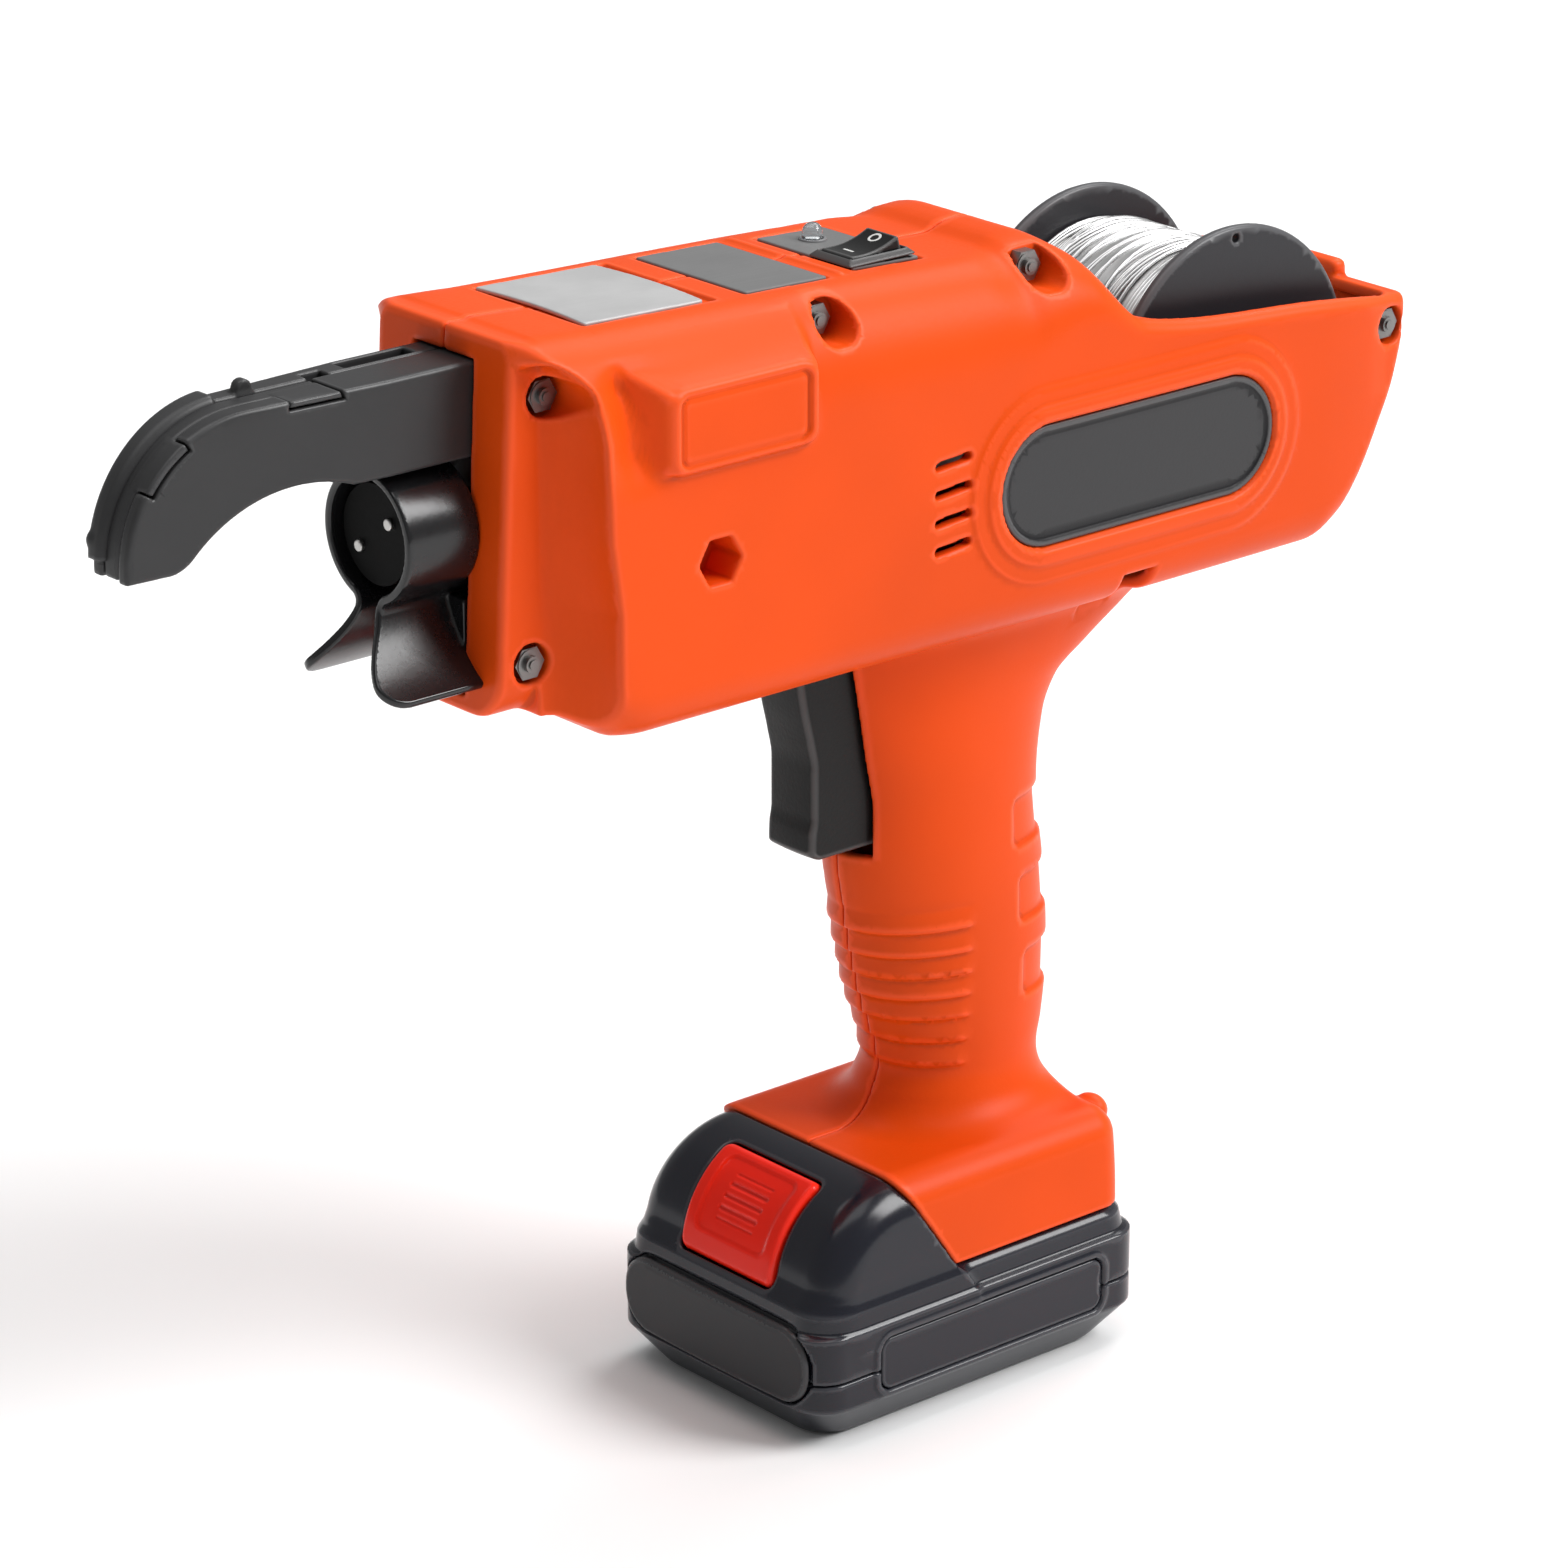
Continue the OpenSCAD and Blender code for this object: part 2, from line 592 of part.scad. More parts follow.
// Half of the collar's section: outer face up from the leg to the top, inner face down again
collar_out = concat(arc(flare_c, flare_r, 180 + flare_end, 180 - meet_a),
    arc([0, twist_z], guard_r, -meet_a, 90));
collar_in = concat(arc([0, twist_z], guard_r - guard_wall, 90, -meet_a),
    arc(flare_c, flare_r + guard_wall, 180 - meet_a, 180 + flare_end, 1));
leg_end = flare_c[1] - (flare_r + guard_wall) * sin(flare_end);
module collar() intersection() {
    along(guard_front - leg_reach, guard_rear)
        polygon(concat(collar_out, mirrored(collar_out), mirrored(collar_in), collar_in));
    across(-2 * guard_r, 2 * guard_r) polygon([[guard_front, twist_z + 2 * guard_r],
        [guard_front, flare_c[1] + 4], [guard_front - leg_reach, flare_c[1] - 1],
        [guard_front - leg_reach, leg_end + 4], [guard_front - leg_reach + 1.2, leg_end + 1.2],
        [guard_front - leg_reach + 4, leg_end], [guard_rear - 0.6, leg_end - 1],
        [guard_rear - 0.6, flare_c[1]], [guard_rear, flare_c[1]], [guard_rear, twist_z + 2 * guard_r]]);
}
module wire_guard() color(black) difference() {
    tongue_half = claw_w / 2 - seat;
    union() {
        collar();
        difference() {
            union() {
                block([guard_rear - 3, frame_front - 0.1], [-tongue_half, tongue_half],
                    [belly_z + 9.6, twist_z - guard_r - 0.4]);
                block([guard_rear - 3, guard_rear], [-tongue_half, tongue_half],
                    [belly_z + 9.6, twist_z - guard_r + 1.2]);
            }
            rod_x(guard_front, frame_front, 0, twist_z, ring_mid);
        }
    }
    rod_y(nose_low[0], -claw_w, claw_w, nose_low[1], screw_r + seat);
}

module twist_bearing() color(steel) difference() {
    rod_x(bearing_x, bearing_x + bearing_w, 0, twist_z, bearing_r);
    rod_x(bearing_x - 1, bearing_x + bearing_w + 1, 0, twist_z, shaft_r + run_fit);
}
module twist_head() color(black) difference() {
    union() {
        rod_x(head_x, head_x + 6, 0, twist_z, head_r);
        rod_x(head_x, gearbox_x + 6, 0, twist_z, shaft_r);
    }
    for (s = [-1, 1]) rod_x(head_x - 1, head_x + 4, s * head_r * 0.47, twist_z - s * 2.9, hook_r);
}
module twist_hooks() color(steel)
    for (s = [-1, 1]) rod_x(head_x - 1.6, head_x + 4, s * head_r * 0.47, twist_z - s * 2.9, hook_r);
module twist_gearbox() color(grey) difference() {
    union() {
        rod_x(gearbox_x, motor_x, 0, twist_z, motor_r);
        rod_x(gearbox_x - 3, gearbox_x, 0, twist_z, shaft_r + 4);
    }
    rod_x(gearbox_x - 4, gearbox_x + 6.5, 0, twist_z, shaft_r + run_fit);
}
module twist_motor() color(steel) {
    rod_x(motor_x, motor_x + motor_len, 0, twist_z, motor_r);
    rod_x(motor_x + motor_len, motor_x + motor_len + 1.8, 0, twist_z, motor_r / 3);
}

// Wire path: eyelet behind the rollers, tube over the motor, die and blade behind the claw
module wire_eyelet() color(brass) difference() {
    rod_x(bay_x - 8.5, bay_x - 3, 0, wire_z, 4);
    rod_x(bay_x - 10, bay_x, 0, wire_z, 1.5);
}
die_len = 8;
module wire_tube() color(steel) difference() {
    rod_x(frame_rear + die_len, feed_x - roller_r - 1, 0, wire_z, tube_r);
    rod_x(frame_rear, feed_x, 0, wire_z, tube_r - 1);
}
blade_x = frame_rear + 5;
module cutter_die() color(grey) difference() {
    block([frame_rear, frame_rear + die_len], [-10, 10], [twist_z + motor_r + 0.4, wire_z + 5]);
    rod_x(frame_rear - 1, frame_rear + die_len + 1, 0, wire_z, 1.1);
    block([blade_x, blade_x + 2], [-11, 5], [wire_z - 2.2, wire_z + 2.4]);
}
module cutter_blade() color(steel) {
    block([blade_x + run_fit, blade_x + 2 - run_fit], [-14, -1.4],
        [wire_z - 2.2 + run_fit, wire_z + 2.4 - run_fit]);
    block([blade_x - 1, blade_x + 2.6], [-15, -13.6], [wire_z - 2.6, wire_z + 3]);
}

// Feed unit on its bracket: motor below, gears and grooved rollers above
module feed_bracket() color(steel) difference() {
    block([feed_x - 11, feed_x + 11], [-bracket_half, bracket_half], [bracket_z, bracket_z + bracket_t]);
    for (s = [-1, 1])
        translate([feed_x, s * gear_r, bracket_z - 1]) cylinder(h = bracket_t + 2, r = feed_shaft_r + run_fit);
}
module feed_gearbox() color(grey) difference() {
    translate([feed_x, gear_r, feed_box_z]) cylinder(h = feed_box_len, r = feed_motor_r + 0.2);
    translate([feed_x, gear_r, bracket_z - 4.5]) cylinder(h = 5, r = feed_shaft_r + run_fit);
}
module feed_motor() color(steel)
    translate([feed_x, gear_r, belly_z + wall + 2.5])
        cylinder(h = feed_box_z - belly_z - wall - 2.5, r = feed_motor_r);
module roller(y, foot) {
    translate([feed_x, y, 0]) {
        translate([0, 0, foot]) cylinder(h = roller_z + roller_h + 0.4 - foot, r = feed_shaft_r);
        rotate_extrude() polygon([[0, roller_z], [roller_r, roller_z], [roller_r, wire_z - 0.5],
            [roller_r - 0.4, wire_z], [roller_r, wire_z + 0.5], [roller_r, roller_z + roller_h],
            [0, roller_z + roller_h]]);
    }
}
function gear_points() = let (p = 360 / gear_teeth) [for (i = [0 : gear_teeth - 1]) each
    [for (q = [[-0.3, -1.15], [-0.2, 0], [-0.09, 0.8], [0.09, 0.8], [0.2, 0], [0.3, -1.15]])
        let (a = p * (i + q[0]), r = gear_r + q[1] * gear_module) [r * cos(a), r * sin(a)]]];
module feed_gear(y, turn) difference() {
    translate([feed_x, y, gear_z]) rotate(turn) linear_extrude(gear_t) polygon(gear_points());
    translate([feed_x, y, gear_z - 1]) cylinder(h = gear_t + 2, r = feed_shaft_r);
}
module feed_drive() color(steel) roller(gear_r, bracket_z - 4);
module feed_drive_gear() color(brass) feed_gear(gear_r, -90);
module feed_idler() color(steel) roller(-gear_r, bracket_z + 0.1);
module feed_idler_gear() color(brass) feed_gear(-gear_r, 90 + 180 / gear_teeth);

// Spool: flanges and hub in one moulding, wire wound on it, fixed axle through it
bay_half = body_half - wall - 0.3;
module spool_axle() color(steel) rod_y(spool_x, -bay_half - 1, bay_half + 1, spool_z, axle_r);
wind_half = spool_w / 2 - flange_t;
module on_spool() translate([spool_x, 0, spool_z]) rotate([90, 0, 0]) children();
module spool() color(charcoal) difference() {
    on_spool() rotate_extrude() polygon([
        [axle_r + run_fit, -spool_w / 2], [spool_r, -spool_w / 2], [spool_r, -wind_half], [hub_r, -wind_half],
        [hub_r, wind_half], [spool_r, wind_half], [spool_r, spool_w / 2], [axle_r + run_fit, spool_w / 2]]);
    for (s = [0, 180])
        rotate_on_spool(60 + s) rod_y(spool_x + spool_r - 4, -spool_w, spool_w, spool_z, 0.9);
}
module rotate_on_spool(a) {
    translate([spool_x, 0, spool_z]) rotate([0, a, 0]) translate([-spool_x, 0, -spool_z]) children();
}
core_end = wind_half - 0.1;
function pack_at(y) = pack_r + pack_swell * (1 - pow(y / wind_half, 2));
module wire_core() color(steel) on_spool() rotate_extrude() polygon(concat(
    [[hub_r + 0.05, -core_end]],
    [for (i = [0 : 8]) let (y = core_end * (i / 4 - 1)) [pack_at(y), y]],
    [[hub_r + 0.05, core_end]]));

// Outer layer of wire: one unbroken tube, straight for a diameter at each flange
loop_steps = 24;
wire_gap = 0.1;
lead = wire_d * 1.2;
wind_run = wind_half - 0.15 - lead - wire_d / 2;
wire_count = wire_loops * loop_steps;
function wind_r(y) = (pack_at(y) + wire_gap + wire_d / 2) / cos(180 / loop_steps);
function wind_at(i) = let (a = 360 * i / loop_steps, y = wind_run * (2 * i / wire_count - 1),
    r = wind_r(y))
    [r * cos(a), r * sin(a), y];
function turned(a, y) = let (r = wind_r(wind_run)) [r * cos(a), r * sin(a), y];
wind_path = concat(
    [turned(-3, -wind_half + 0.12), turned(-3, -wind_half + 0.12 + lead)],
    [for (i = [0 : wire_count]) wind_at(i)],
    [turned(360 * wire_loops + 3, wind_half - 0.12 - lead), turned(360 * wire_loops + 3, wind_half - 0.12)]);
function unit(v) = v / norm(v);
function ring_on(path, i) = let (
    a = path[max(i - 1, 0)], b = path[min(i + 1, len(path) - 1)],
    t = unit(b - a), out = unit([path[i][0], path[i][1], 0]), side = unit(cross(out, t)), up = cross(t, side))
    [for (k = [0 : 5]) path[i] + wire_d / 2 * (cos(60 * k) * side + sin(60 * k) * up)];
turn_gaps = [for (i = [0 : 2 : wire_count - loop_steps]) for (j = [i + loop_steps - 6 : i + loop_steps + 6])
    if (j <= wire_count) norm(wind_at(i) - wind_at(j)) - wire_d];
echo(least_gap_between_turns = min(turn_gaps));
module wire_winding() color(steel) on_spool()
    loft([for (i = [0 : len(wind_path) - 1]) ring_on(wind_path, i)]);

// Brake on the spool's rim, with the release tab that shows in the notch under the body
brake_pin_x = bay_x + 3.2;
brake_pin_z = belly_z + 7;
brake_y = -spool_w / 2 - 0.8;
module brake_lever() color(steel) difference() {
    shoe_z = brake_pin_z + 9;
    shoe_x = spool_x - sqrt(pow(spool_r + 0.5, 2) - pow(spool_z - shoe_z, 2));
    across(brake_y, brake_y + 4.2) {
        translate([brake_pin_x, brake_pin_z]) circle(r = 3);
        polygon([[brake_pin_x - 2, brake_pin_z], [shoe_x - 2.6, shoe_z + 1], [shoe_x - 0.5, shoe_z + 1],
            [shoe_x - 0.2, shoe_z - 1], [brake_pin_x + 2.2, brake_pin_z]]);
        polygon([[brake_pin_x, brake_pin_z + 2], [brake_pin_x - 5.4, brake_pin_z - 4],
            [brake_pin_x - 5.4, brake_pin_z - 7.6], [brake_pin_x - 2, brake_pin_z - 7], [brake_pin_x, brake_pin_z - 2]]);
    }
    rod_y(brake_pin_x, brake_y - 1, brake_y + 6, brake_pin_z, 1.5 + run_fit);
}
module brake_pin() color(steel) rod_y(brake_pin_x, -bay_half, brake_y + 5, brake_pin_z, 1.5);

// Control board in the slots of the cradles, with its parts
module control_board() color("#1f5a38")
    block([gearbox_x + 4, motor_x + motor_len], [-board_half, board_half], [board_z, board_z + board_t]);
module board_parts() color(black) {
    top = board_z + board_t;
    for (x = [gearbox_x + 20, motor_x + 18, motor_x + 33]) {
        block([x, x + 8], [-14, -7], [top, top + 3]);
        block([x, x + 6], [6, 16], [top, top + 2]);
    }
    translate([motor_x + 29.5, 0, top]) cylinder(h = 4.5, r = 3);
}

// Plates let into the deck; g is the clearance round them
module deck_plate(x0, x1, half, thick, proud) {
    across(-half, half) polygon([[x0, deck_at(x0) - thick], [x1, deck_at(x1) - thick],
        [x1, deck_at(x1) + proud], [x0, deck_at(x0) + proud]]);
}
bezel_x = -20.3;
bezel_y = -7.5;
badge_x = [-82, -53];
badge_t = 1;
rating_x = [-46, -27];
rating_t = 0.8;
panel_x = [-19.6, -3.6];
panel_t = 0.9;
panel_half = 13.5;
label_half = 15;
module deck_plates(g) {
    deck_plate(badge_x[0] - g, badge_x[1] + g, label_half + g, badge_t + g, 3);
    deck_plate(rating_x[0] - g, rating_x[1] + g, label_half + g, rating_t + g, 3);
    deck_plate(panel_x[0] - g, panel_x[1] + g, panel_half + g, panel_t + g, 3);
}
module badge_plate() color("#d9dadb") deck_plate(badge_x[0], badge_x[1], label_half, badge_t, 0.1);
module rating_plate() color(grey) deck_plate(rating_x[0], rating_x[1], label_half, rating_t, 0.1);
module switch_plate() color(grey) difference() {
    deck_plate(panel_x[0], panel_x[1], panel_half, panel_t, 0);
    switch_body(seat);
    led_body(seat);
}

// Rocker switch: flanged bezel with a shallow body, and the rocker on its pivot
plate_top = deck_at(bezel_x + bezel_len / 2) + 0.25;
switch_mid = bezel_x + bezel_len / 2;
rocker_half = bezel_len / 2 - 1.9;
rocker_w = bezel_w - 3.2;
pivot_z = plate_top - 0.6;
module switch_body(g) {
    half = bezel_w / 2 - 0.9 + g;
    block([bezel_x + 1 - g, bezel_x + bezel_len - 1 + g], [bezel_y - half, bezel_y + half],
        [plate_top - 7, plate_top + 0.4]);
}
module rocker_bezel() color(black) difference() {
    union() {
        switch_body(0);
        block([bezel_x, bezel_x + bezel_len], [bezel_y - bezel_w / 2, bezel_y + bezel_w / 2],
            [plate_top + 0.1, plate_top + 1.6]);
    }
    block([switch_mid - rocker_half - 0.5, switch_mid + rocker_half + 0.5],
        [bezel_y - rocker_w / 2 - 0.3, bezel_y + rocker_w / 2 + 0.3], [plate_top - 5, plate_top + 3]);
}
module rocker() color(black)
    translate([switch_mid, bezel_y, pivot_z]) rotate([0, -rocker_tilt, 0]) {
        across(-rocker_w / 2, rocker_w / 2) polygon([[-rocker_half, 3.4], [-rocker_half + 0.8, 0], [-1.5, -3],
            [1.5, -3], [rocker_half - 0.8, 0], [rocker_half, 3.4], [0, 2.3]]);
        rod_y(0, -rocker_w / 2 - 0.25, rocker_w / 2 + 0.25, 0, 0.7);
    }
led_x = -11.7;
led_y = 6.6;
module led_body(g) {
    translate([led_x, led_y, deck_at(led_x) - 2]) cylinder(h = 4.4, r = 2 + g);
}
module status_led() color("#e8edf0") {
    led_body(0);
    translate([led_x, led_y, deck_at(led_x) + 2.4]) sphere(r = 2);
}
module name_plates() color(charcoal) mirrored_y()
    across(body_half - 0.7, body_half + 0.5) plate_outline(0);

// Casing screws with domed heads on the right and nuts on the left
module shell_screws() color(steel) for (s = screw_places) {
    rod_y(s[0][0], -s[1] - nut_t - 0.5, s[1], s[0][1], screw_r);
    rod_y(s[0][0], s[1], s[1] + nut_t, s[0][1], nut_af / 2);
}
module shell_nuts() color(steel) for (s = screw_places) difference() {
    translate([s[0][0], -s[1], s[0][1]]) rotate([90, 0, 0]) cylinder(h = nut_t, r = nut_af / 2 / cos(30), $fn = 6);
    rod_y(s[0][0], -s[1] - nut_t - 1, -s[1] + 1, s[0][1], screw_r);
}

// Trigger on a cross pin at the top of the grip, spring and switch behind it
trigger_pin_x = -6;
trigger_pin_z = belly_z - 5.5;
trigger_top = belly_z - 0.8;
trigger_low = grip_at(107);
front_low = -12.9 - trigger_out;
module trigger() color(black) difference() {
    h = trigger_top - trigger_low;
    across(-trigger_w / 2, trigger_w / 2) polygon([
        [-18 - trigger_out + 1, trigger_top], [-17 - trigger_out + 1.6, trigger_low + h * 0.7],
        [-13.6 - trigger_out + 0.8, trigger_low + h * 0.42], [-13.2 - trigger_out + 0.2, trigger_low + h * 0.2],
        [front_low - 1, trigger_low + 2], [front_low + 1.5, trigger_low], [-7, trigger_low],
        [-3.6, trigger_low + h * 0.5], [-1.5, trigger_top - 2], [-3, trigger_top]]);
    rod_y(trigger_pin_x, -trigger_w, trigger_w, trigger_pin_z, 1.5 + run_fit);
}
module trigger_pin() color(steel)
    rod_y(trigger_pin_x, -trigger_w / 2 - 3, trigger_w / 2 + 3, trigger_pin_z, 1.5);
spring_z = trigger_low + 10;
module trigger_spring() color(steel) difference() {
    rod_x(-4.6, 9.2, 0, spring_z, 2.6);
    rod_x(-5, 10, 0, spring_z, 1.9);
}
switch_half = 4;
switch_x = 9.4;
switch_hole = [switch_x + 8, trigger_low + 17];
module trigger_switch() color(black) difference() {
    union() {
        block([switch_x, switch_x + 16], [-switch_half, switch_half], [trigger_low + 4, trigger_low + 26]);
        rod_x(2, switch_x, 0, trigger_low + 20, 1.5);
    }
    rod_y(switch_hole[0], -switch_half - 1, switch_half + 1, switch_hole[1], 1.2);
}

// Contacts in the foot: block on the top wall and three blades towards the battery
terminal_half = 12;
block_x = 14;
module terminal_block() color(black)
    block([block_x + 12.6, foot_rear - wall - 0.1], [-terminal_half, terminal_half], [rail_z + 0.2, foot_top - wall]);
blade_t = 0.8;
module tool_contacts() color(brass) for (y = [-7, 0, 7])
    block([block_x + 4, block_x + 12.6], [y - blade_t / 2, y + blade_t / 2], [rail_z + 0.6, rail_top - 0.6]);

// Battery case: rounded plan, drawn in at the toe, split into tray and cover
function toe_section(half, t) = [[-half + toe_in + t, t], [half - toe_in - t, t], [half - t, toe - t * 0.4],
    [half - t, batt_h - t], [-half + t, batt_h - t], [-half + t, toe - t * 0.4]];
module case_form(t) intersection() {
    linear_extrude(batt_h) square_round(batt_len - 2 * t, batt_w - 2 * t, 7 - t);
    along(-batt_end, batt_end) polygon(toe_section(batt_half, t));
    across(-batt_half, batt_half) polygon(toe_section(batt_end, t));
}
module square_round(x, y, r) {
    square([x - 2 * r, y], center = true);
    square([x, y - 2 * r], center = true);
    for (i = [-1, 1], j = [-1, 1]) translate([i * (x / 2 - r), j * (y / 2 - r)]) circle(r = r);
}
batt_screw_places = [for (i = [-1, 1], j = [-1, 1]) [i * (batt_end - 5.6), j * (batt_half - 8.6)]];
module battery_tray() color(charcoal) difference() {
    case_form(0);
    case_form(batt_wall);
    block([-batt_len, batt_len], [-batt_w, batt_w], [batt_split, batt_h + 1]);
    plate_pockets(seat);
    for (p = batt_screw_places) translate([p[0], p[1], -1]) cylinder(h = batt_split, r = 1.3);
}
function dome_side() = concat(
    [for (i = [0 : 10]) let (a = 180 - 8.8 * i) dome_c + dome_r * [cos(a), sin(a)]],
    [[-7.2, batt_h - 0.5], [dome_c[0] - dome_r, batt_h - 0.5]]);
dome_half = foot_half - 2.5;
module dome() intersection() {
    across(-dome_half, dome_half) polygon(dome_side());
    along(-batt_end, 0) dome_front();
}
module dome_front() {
    top = dome_c[1] + dome_r;
    translate([-dome_half, batt_h - 1]) square([2 * dome_half, dome_r - 8]);
    translate([-dome_half + 8, batt_h - 1]) square([2 * dome_half - 16, top - batt_h + 1]);
    for (s = [-1, 1]) translate([s * (dome_half - 8), top - 8]) circle(r = 8);
}

// In the button's own axes, its press line runs to the centre of the dome
module press_frame() translate([dome_c[0], 0, dome_c[1]]) rotate([0, 180 - press_a, 0]) mirror([1, 0, 0]) children();
module button_band(inner, outer, half, w) intersection() {
    press_frame() difference() {
        rod_y(0, -w / 2, w / 2, 0, outer);
        rod_y(0, -w, w, 0, inner);
    }
    press_frame() block([2, 40], [-w / 2, w / 2], [-half, half]);
}
well_r = dome_r - button_depth - button_travel - 1.5;
module battery_cover() color(charcoal) difference() {
    union() {
        difference() {
            case_form(0);
            block([-batt_len, batt_len], [-batt_w, batt_w], [-1, batt_split]);
            difference() {
                case_form(batt_wall);
                block([-batt_len, batt_len], [-batt_w, batt_w], [cell_z + cell_d / 2 + 0.3, batt_h + 1]);
            }
        }
        dome();
        block([-8, tower_rear], [-tower_half, tower_half], [batt_h - 1, rail_top]);
        block([0, tower_rear], [-rail_half, rail_half], [rail_z, rail_top]);
    }
    press_frame() difference() {
        block([2, 40], [-button_w / 2 - press_gap, button_w / 2 + press_gap],
            [-button_half - press_gap, button_half + press_gap]);
        rod_y(0, -button_w, button_w, 0, well_r);
    }
    rod_spring(3.4);
    block([block_x + 3, tower_rear + 1], [-10, 10], [rail_z - 1, rail_top + 1]);
    block([-batt_len, -batt_end + 1.2], [-dome_half, dome_half], [batt_h - 0.01, batt_h + 40]);
    plate_pockets(seat);
    for (p = batt_screw_places) translate([p[0], p[1], batt_split - 1]) cylinder(h = 6, r = 1.3);
}
module battery_cells() color("#3d6fa8") for (i = [0 : cell_count - 1])
    rod_x(-cell_len / 2, cell_len / 2, (i - (cell_count - 1) / 2) * cell_pitch, cell_z, cell_d / 2);
module cell_links() color(steel) for (s = [-1, 1])
    block([s * (cell_len / 2 + 0.25) - 0.2, s * (cell_len / 2 + 0.25) + 0.2],
        [-link_half, link_half], [cell_z - 4, cell_z + 4]);
module battery_contacts() color(brass) for (y = [-7, 0, 7]) for (s = [-1, 1])
    block([block_x + 3.1, block_x + 12], [y + s * 1.2 - 0.4, y + s * 1.2 + 0.4], [rail_z - 1, rail_top - 0.4]);

// Bare plates let into the front and sides of the battery
front_plate_w = 52;
front_plate_h = 15;
side_plate_len = 56;
side_plate_h = 10.4;
plate_z = 16;
side_z = 14.5;
module front_plate(g) translate([-batt_end, 0, plate_z]) rotate([90, 0, 90])
    linear_extrude(1.2 + g, center = true) square_round(front_plate_w + 2 * g, front_plate_h + 2 * g, 5 + g);
module side_plate(g) translate([2, -batt_half, side_z]) rotate([90, 0, 0])
    linear_extrude(1.2 + g, center = true) square_round(side_plate_len + 2 * g, side_plate_h + 2 * g, 2.5 + g);
module plate_pockets(g) {
    front_plate(g);
    mirrored_y() side_plate(g);
}
module battery_front_plate() color(black) front_plate(0);
module battery_side_plates() color(black) mirrored_y() side_plate(0);
module battery_screws() color(steel) for (p = batt_screw_places)
    translate([p[0], p[1], toe - 4]) cylinder(h = batt_split - toe + 8, r = 1.3);

module latch_button() color("#e0201b") button_band(dome_r - button_depth, dome_r + 1, button_half, button_w);
module rod_spring(r) press_frame() rod_x(well_r - 3, dome_r - button_depth, 0, 0, r);
module latch_spring() color(steel) press_frame() difference() {
    rod_x(well_r - 2.9, sqrt(pow(dome_r - button_depth, 2) - 9) - seat, 0, 0, 3);
    rod_x(well_r - 4, dome_r, 0, 0, 2.3);
}

left_shell();
right_shell();
front_frame();
claw_near_plate();
claw_track();
claw_far_plate();
claw_rivets();
wire_guard();
twist_bearing();
twist_head();
twist_hooks();
twist_gearbox();
twist_motor();
wire_tube();
wire_eyelet();
cutter_die();
cutter_blade();
feed_bracket();
feed_gearbox();
feed_motor();
feed_drive();
feed_drive_gear();
feed_idler();
feed_idler_gear();
spool_axle();
spool();
wire_core();
wire_winding();
brake_lever();
brake_pin();
control_board();
board_parts();
badge_plate();
rating_plate();
switch_plate();
rocker_bezel();
rocker();
status_led();
name_plates();
shell_screws();
shell_nuts();
trigger();
trigger_pin();
trigger_spring();
trigger_switch();
terminal_block();
tool_contacts();
battery_tray();
battery_cover();
battery_cells();
cell_links();
battery_contacts();
battery_front_plate();
battery_side_plates();
battery_screws();
latch_button();
latch_spring();
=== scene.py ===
import functools
import math

import bpy
import numpy as np
import openvdb
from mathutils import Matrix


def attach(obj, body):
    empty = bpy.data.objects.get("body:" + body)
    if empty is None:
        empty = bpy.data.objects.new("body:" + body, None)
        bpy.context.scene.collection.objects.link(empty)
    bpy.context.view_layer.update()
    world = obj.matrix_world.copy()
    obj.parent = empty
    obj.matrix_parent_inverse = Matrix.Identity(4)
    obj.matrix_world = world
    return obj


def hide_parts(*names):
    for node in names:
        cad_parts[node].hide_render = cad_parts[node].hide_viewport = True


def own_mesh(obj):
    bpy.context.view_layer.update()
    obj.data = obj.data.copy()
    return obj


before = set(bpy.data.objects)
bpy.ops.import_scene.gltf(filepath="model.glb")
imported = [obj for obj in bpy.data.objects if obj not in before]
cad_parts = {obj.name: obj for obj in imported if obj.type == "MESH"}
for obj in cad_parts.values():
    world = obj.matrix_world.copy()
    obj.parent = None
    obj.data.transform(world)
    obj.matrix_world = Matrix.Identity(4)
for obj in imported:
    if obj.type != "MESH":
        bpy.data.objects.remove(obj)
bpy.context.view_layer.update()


# Casing halves: two injection moulded shells in orange nylon, split down the middle of the tool.
# Body, nose, handle and foot are one moulding per side, drawn together by five cross screws.
# Each half is worked in millimetres as a distance field, so that every edge keeps its mould radius.
def soft_and(a, b, r):
    """What two forms share, with the edge between them rounded to radius r"""
    if r == 0:
        return np.maximum(a, b)
    return np.minimum(-r, np.maximum(a, b)) + np.hypot(np.maximum(r + a, 0), np.maximum(r + b, 0))


def soft_or(a, b, r):
    """Join of two forms with a fillet of radius r"""
    return -soft_and(-a, -b, r)


def shared(*forms):
    """What all the forms share, with sharp edges"""
    return functools.reduce(np.maximum, forms)


def slab(v, low=None, high=None):
    """Room between two limits; a limit that is left out is open"""
    if low is None:
        return v - high
    if high is None:
        return low - v
    return np.maximum(low - v, v - high)


def block(**limits):
    """Form with square edges, from the limits on the axes that have any"""
    def form(x, y, z):
        at = {"x": x, "y": y, "z": z}
        return shared(*(slab(at[axis], *ends) for axis, ends in limits.items()))

    return form


def bore(r, **centre):
    """Form of a round hole or rod along the axis that isn't named"""
    def form(x, y, z):
        at = {"x": x, "y": y, "z": z}
        return np.hypot(*(at[axis] - middle for axis, middle in centre.items())) - r

    return form


def ball(x, y, z, centre, r):
    return np.sqrt(sum((v - c) ** 2 for v, c in zip((x, y, z), centre))) - r


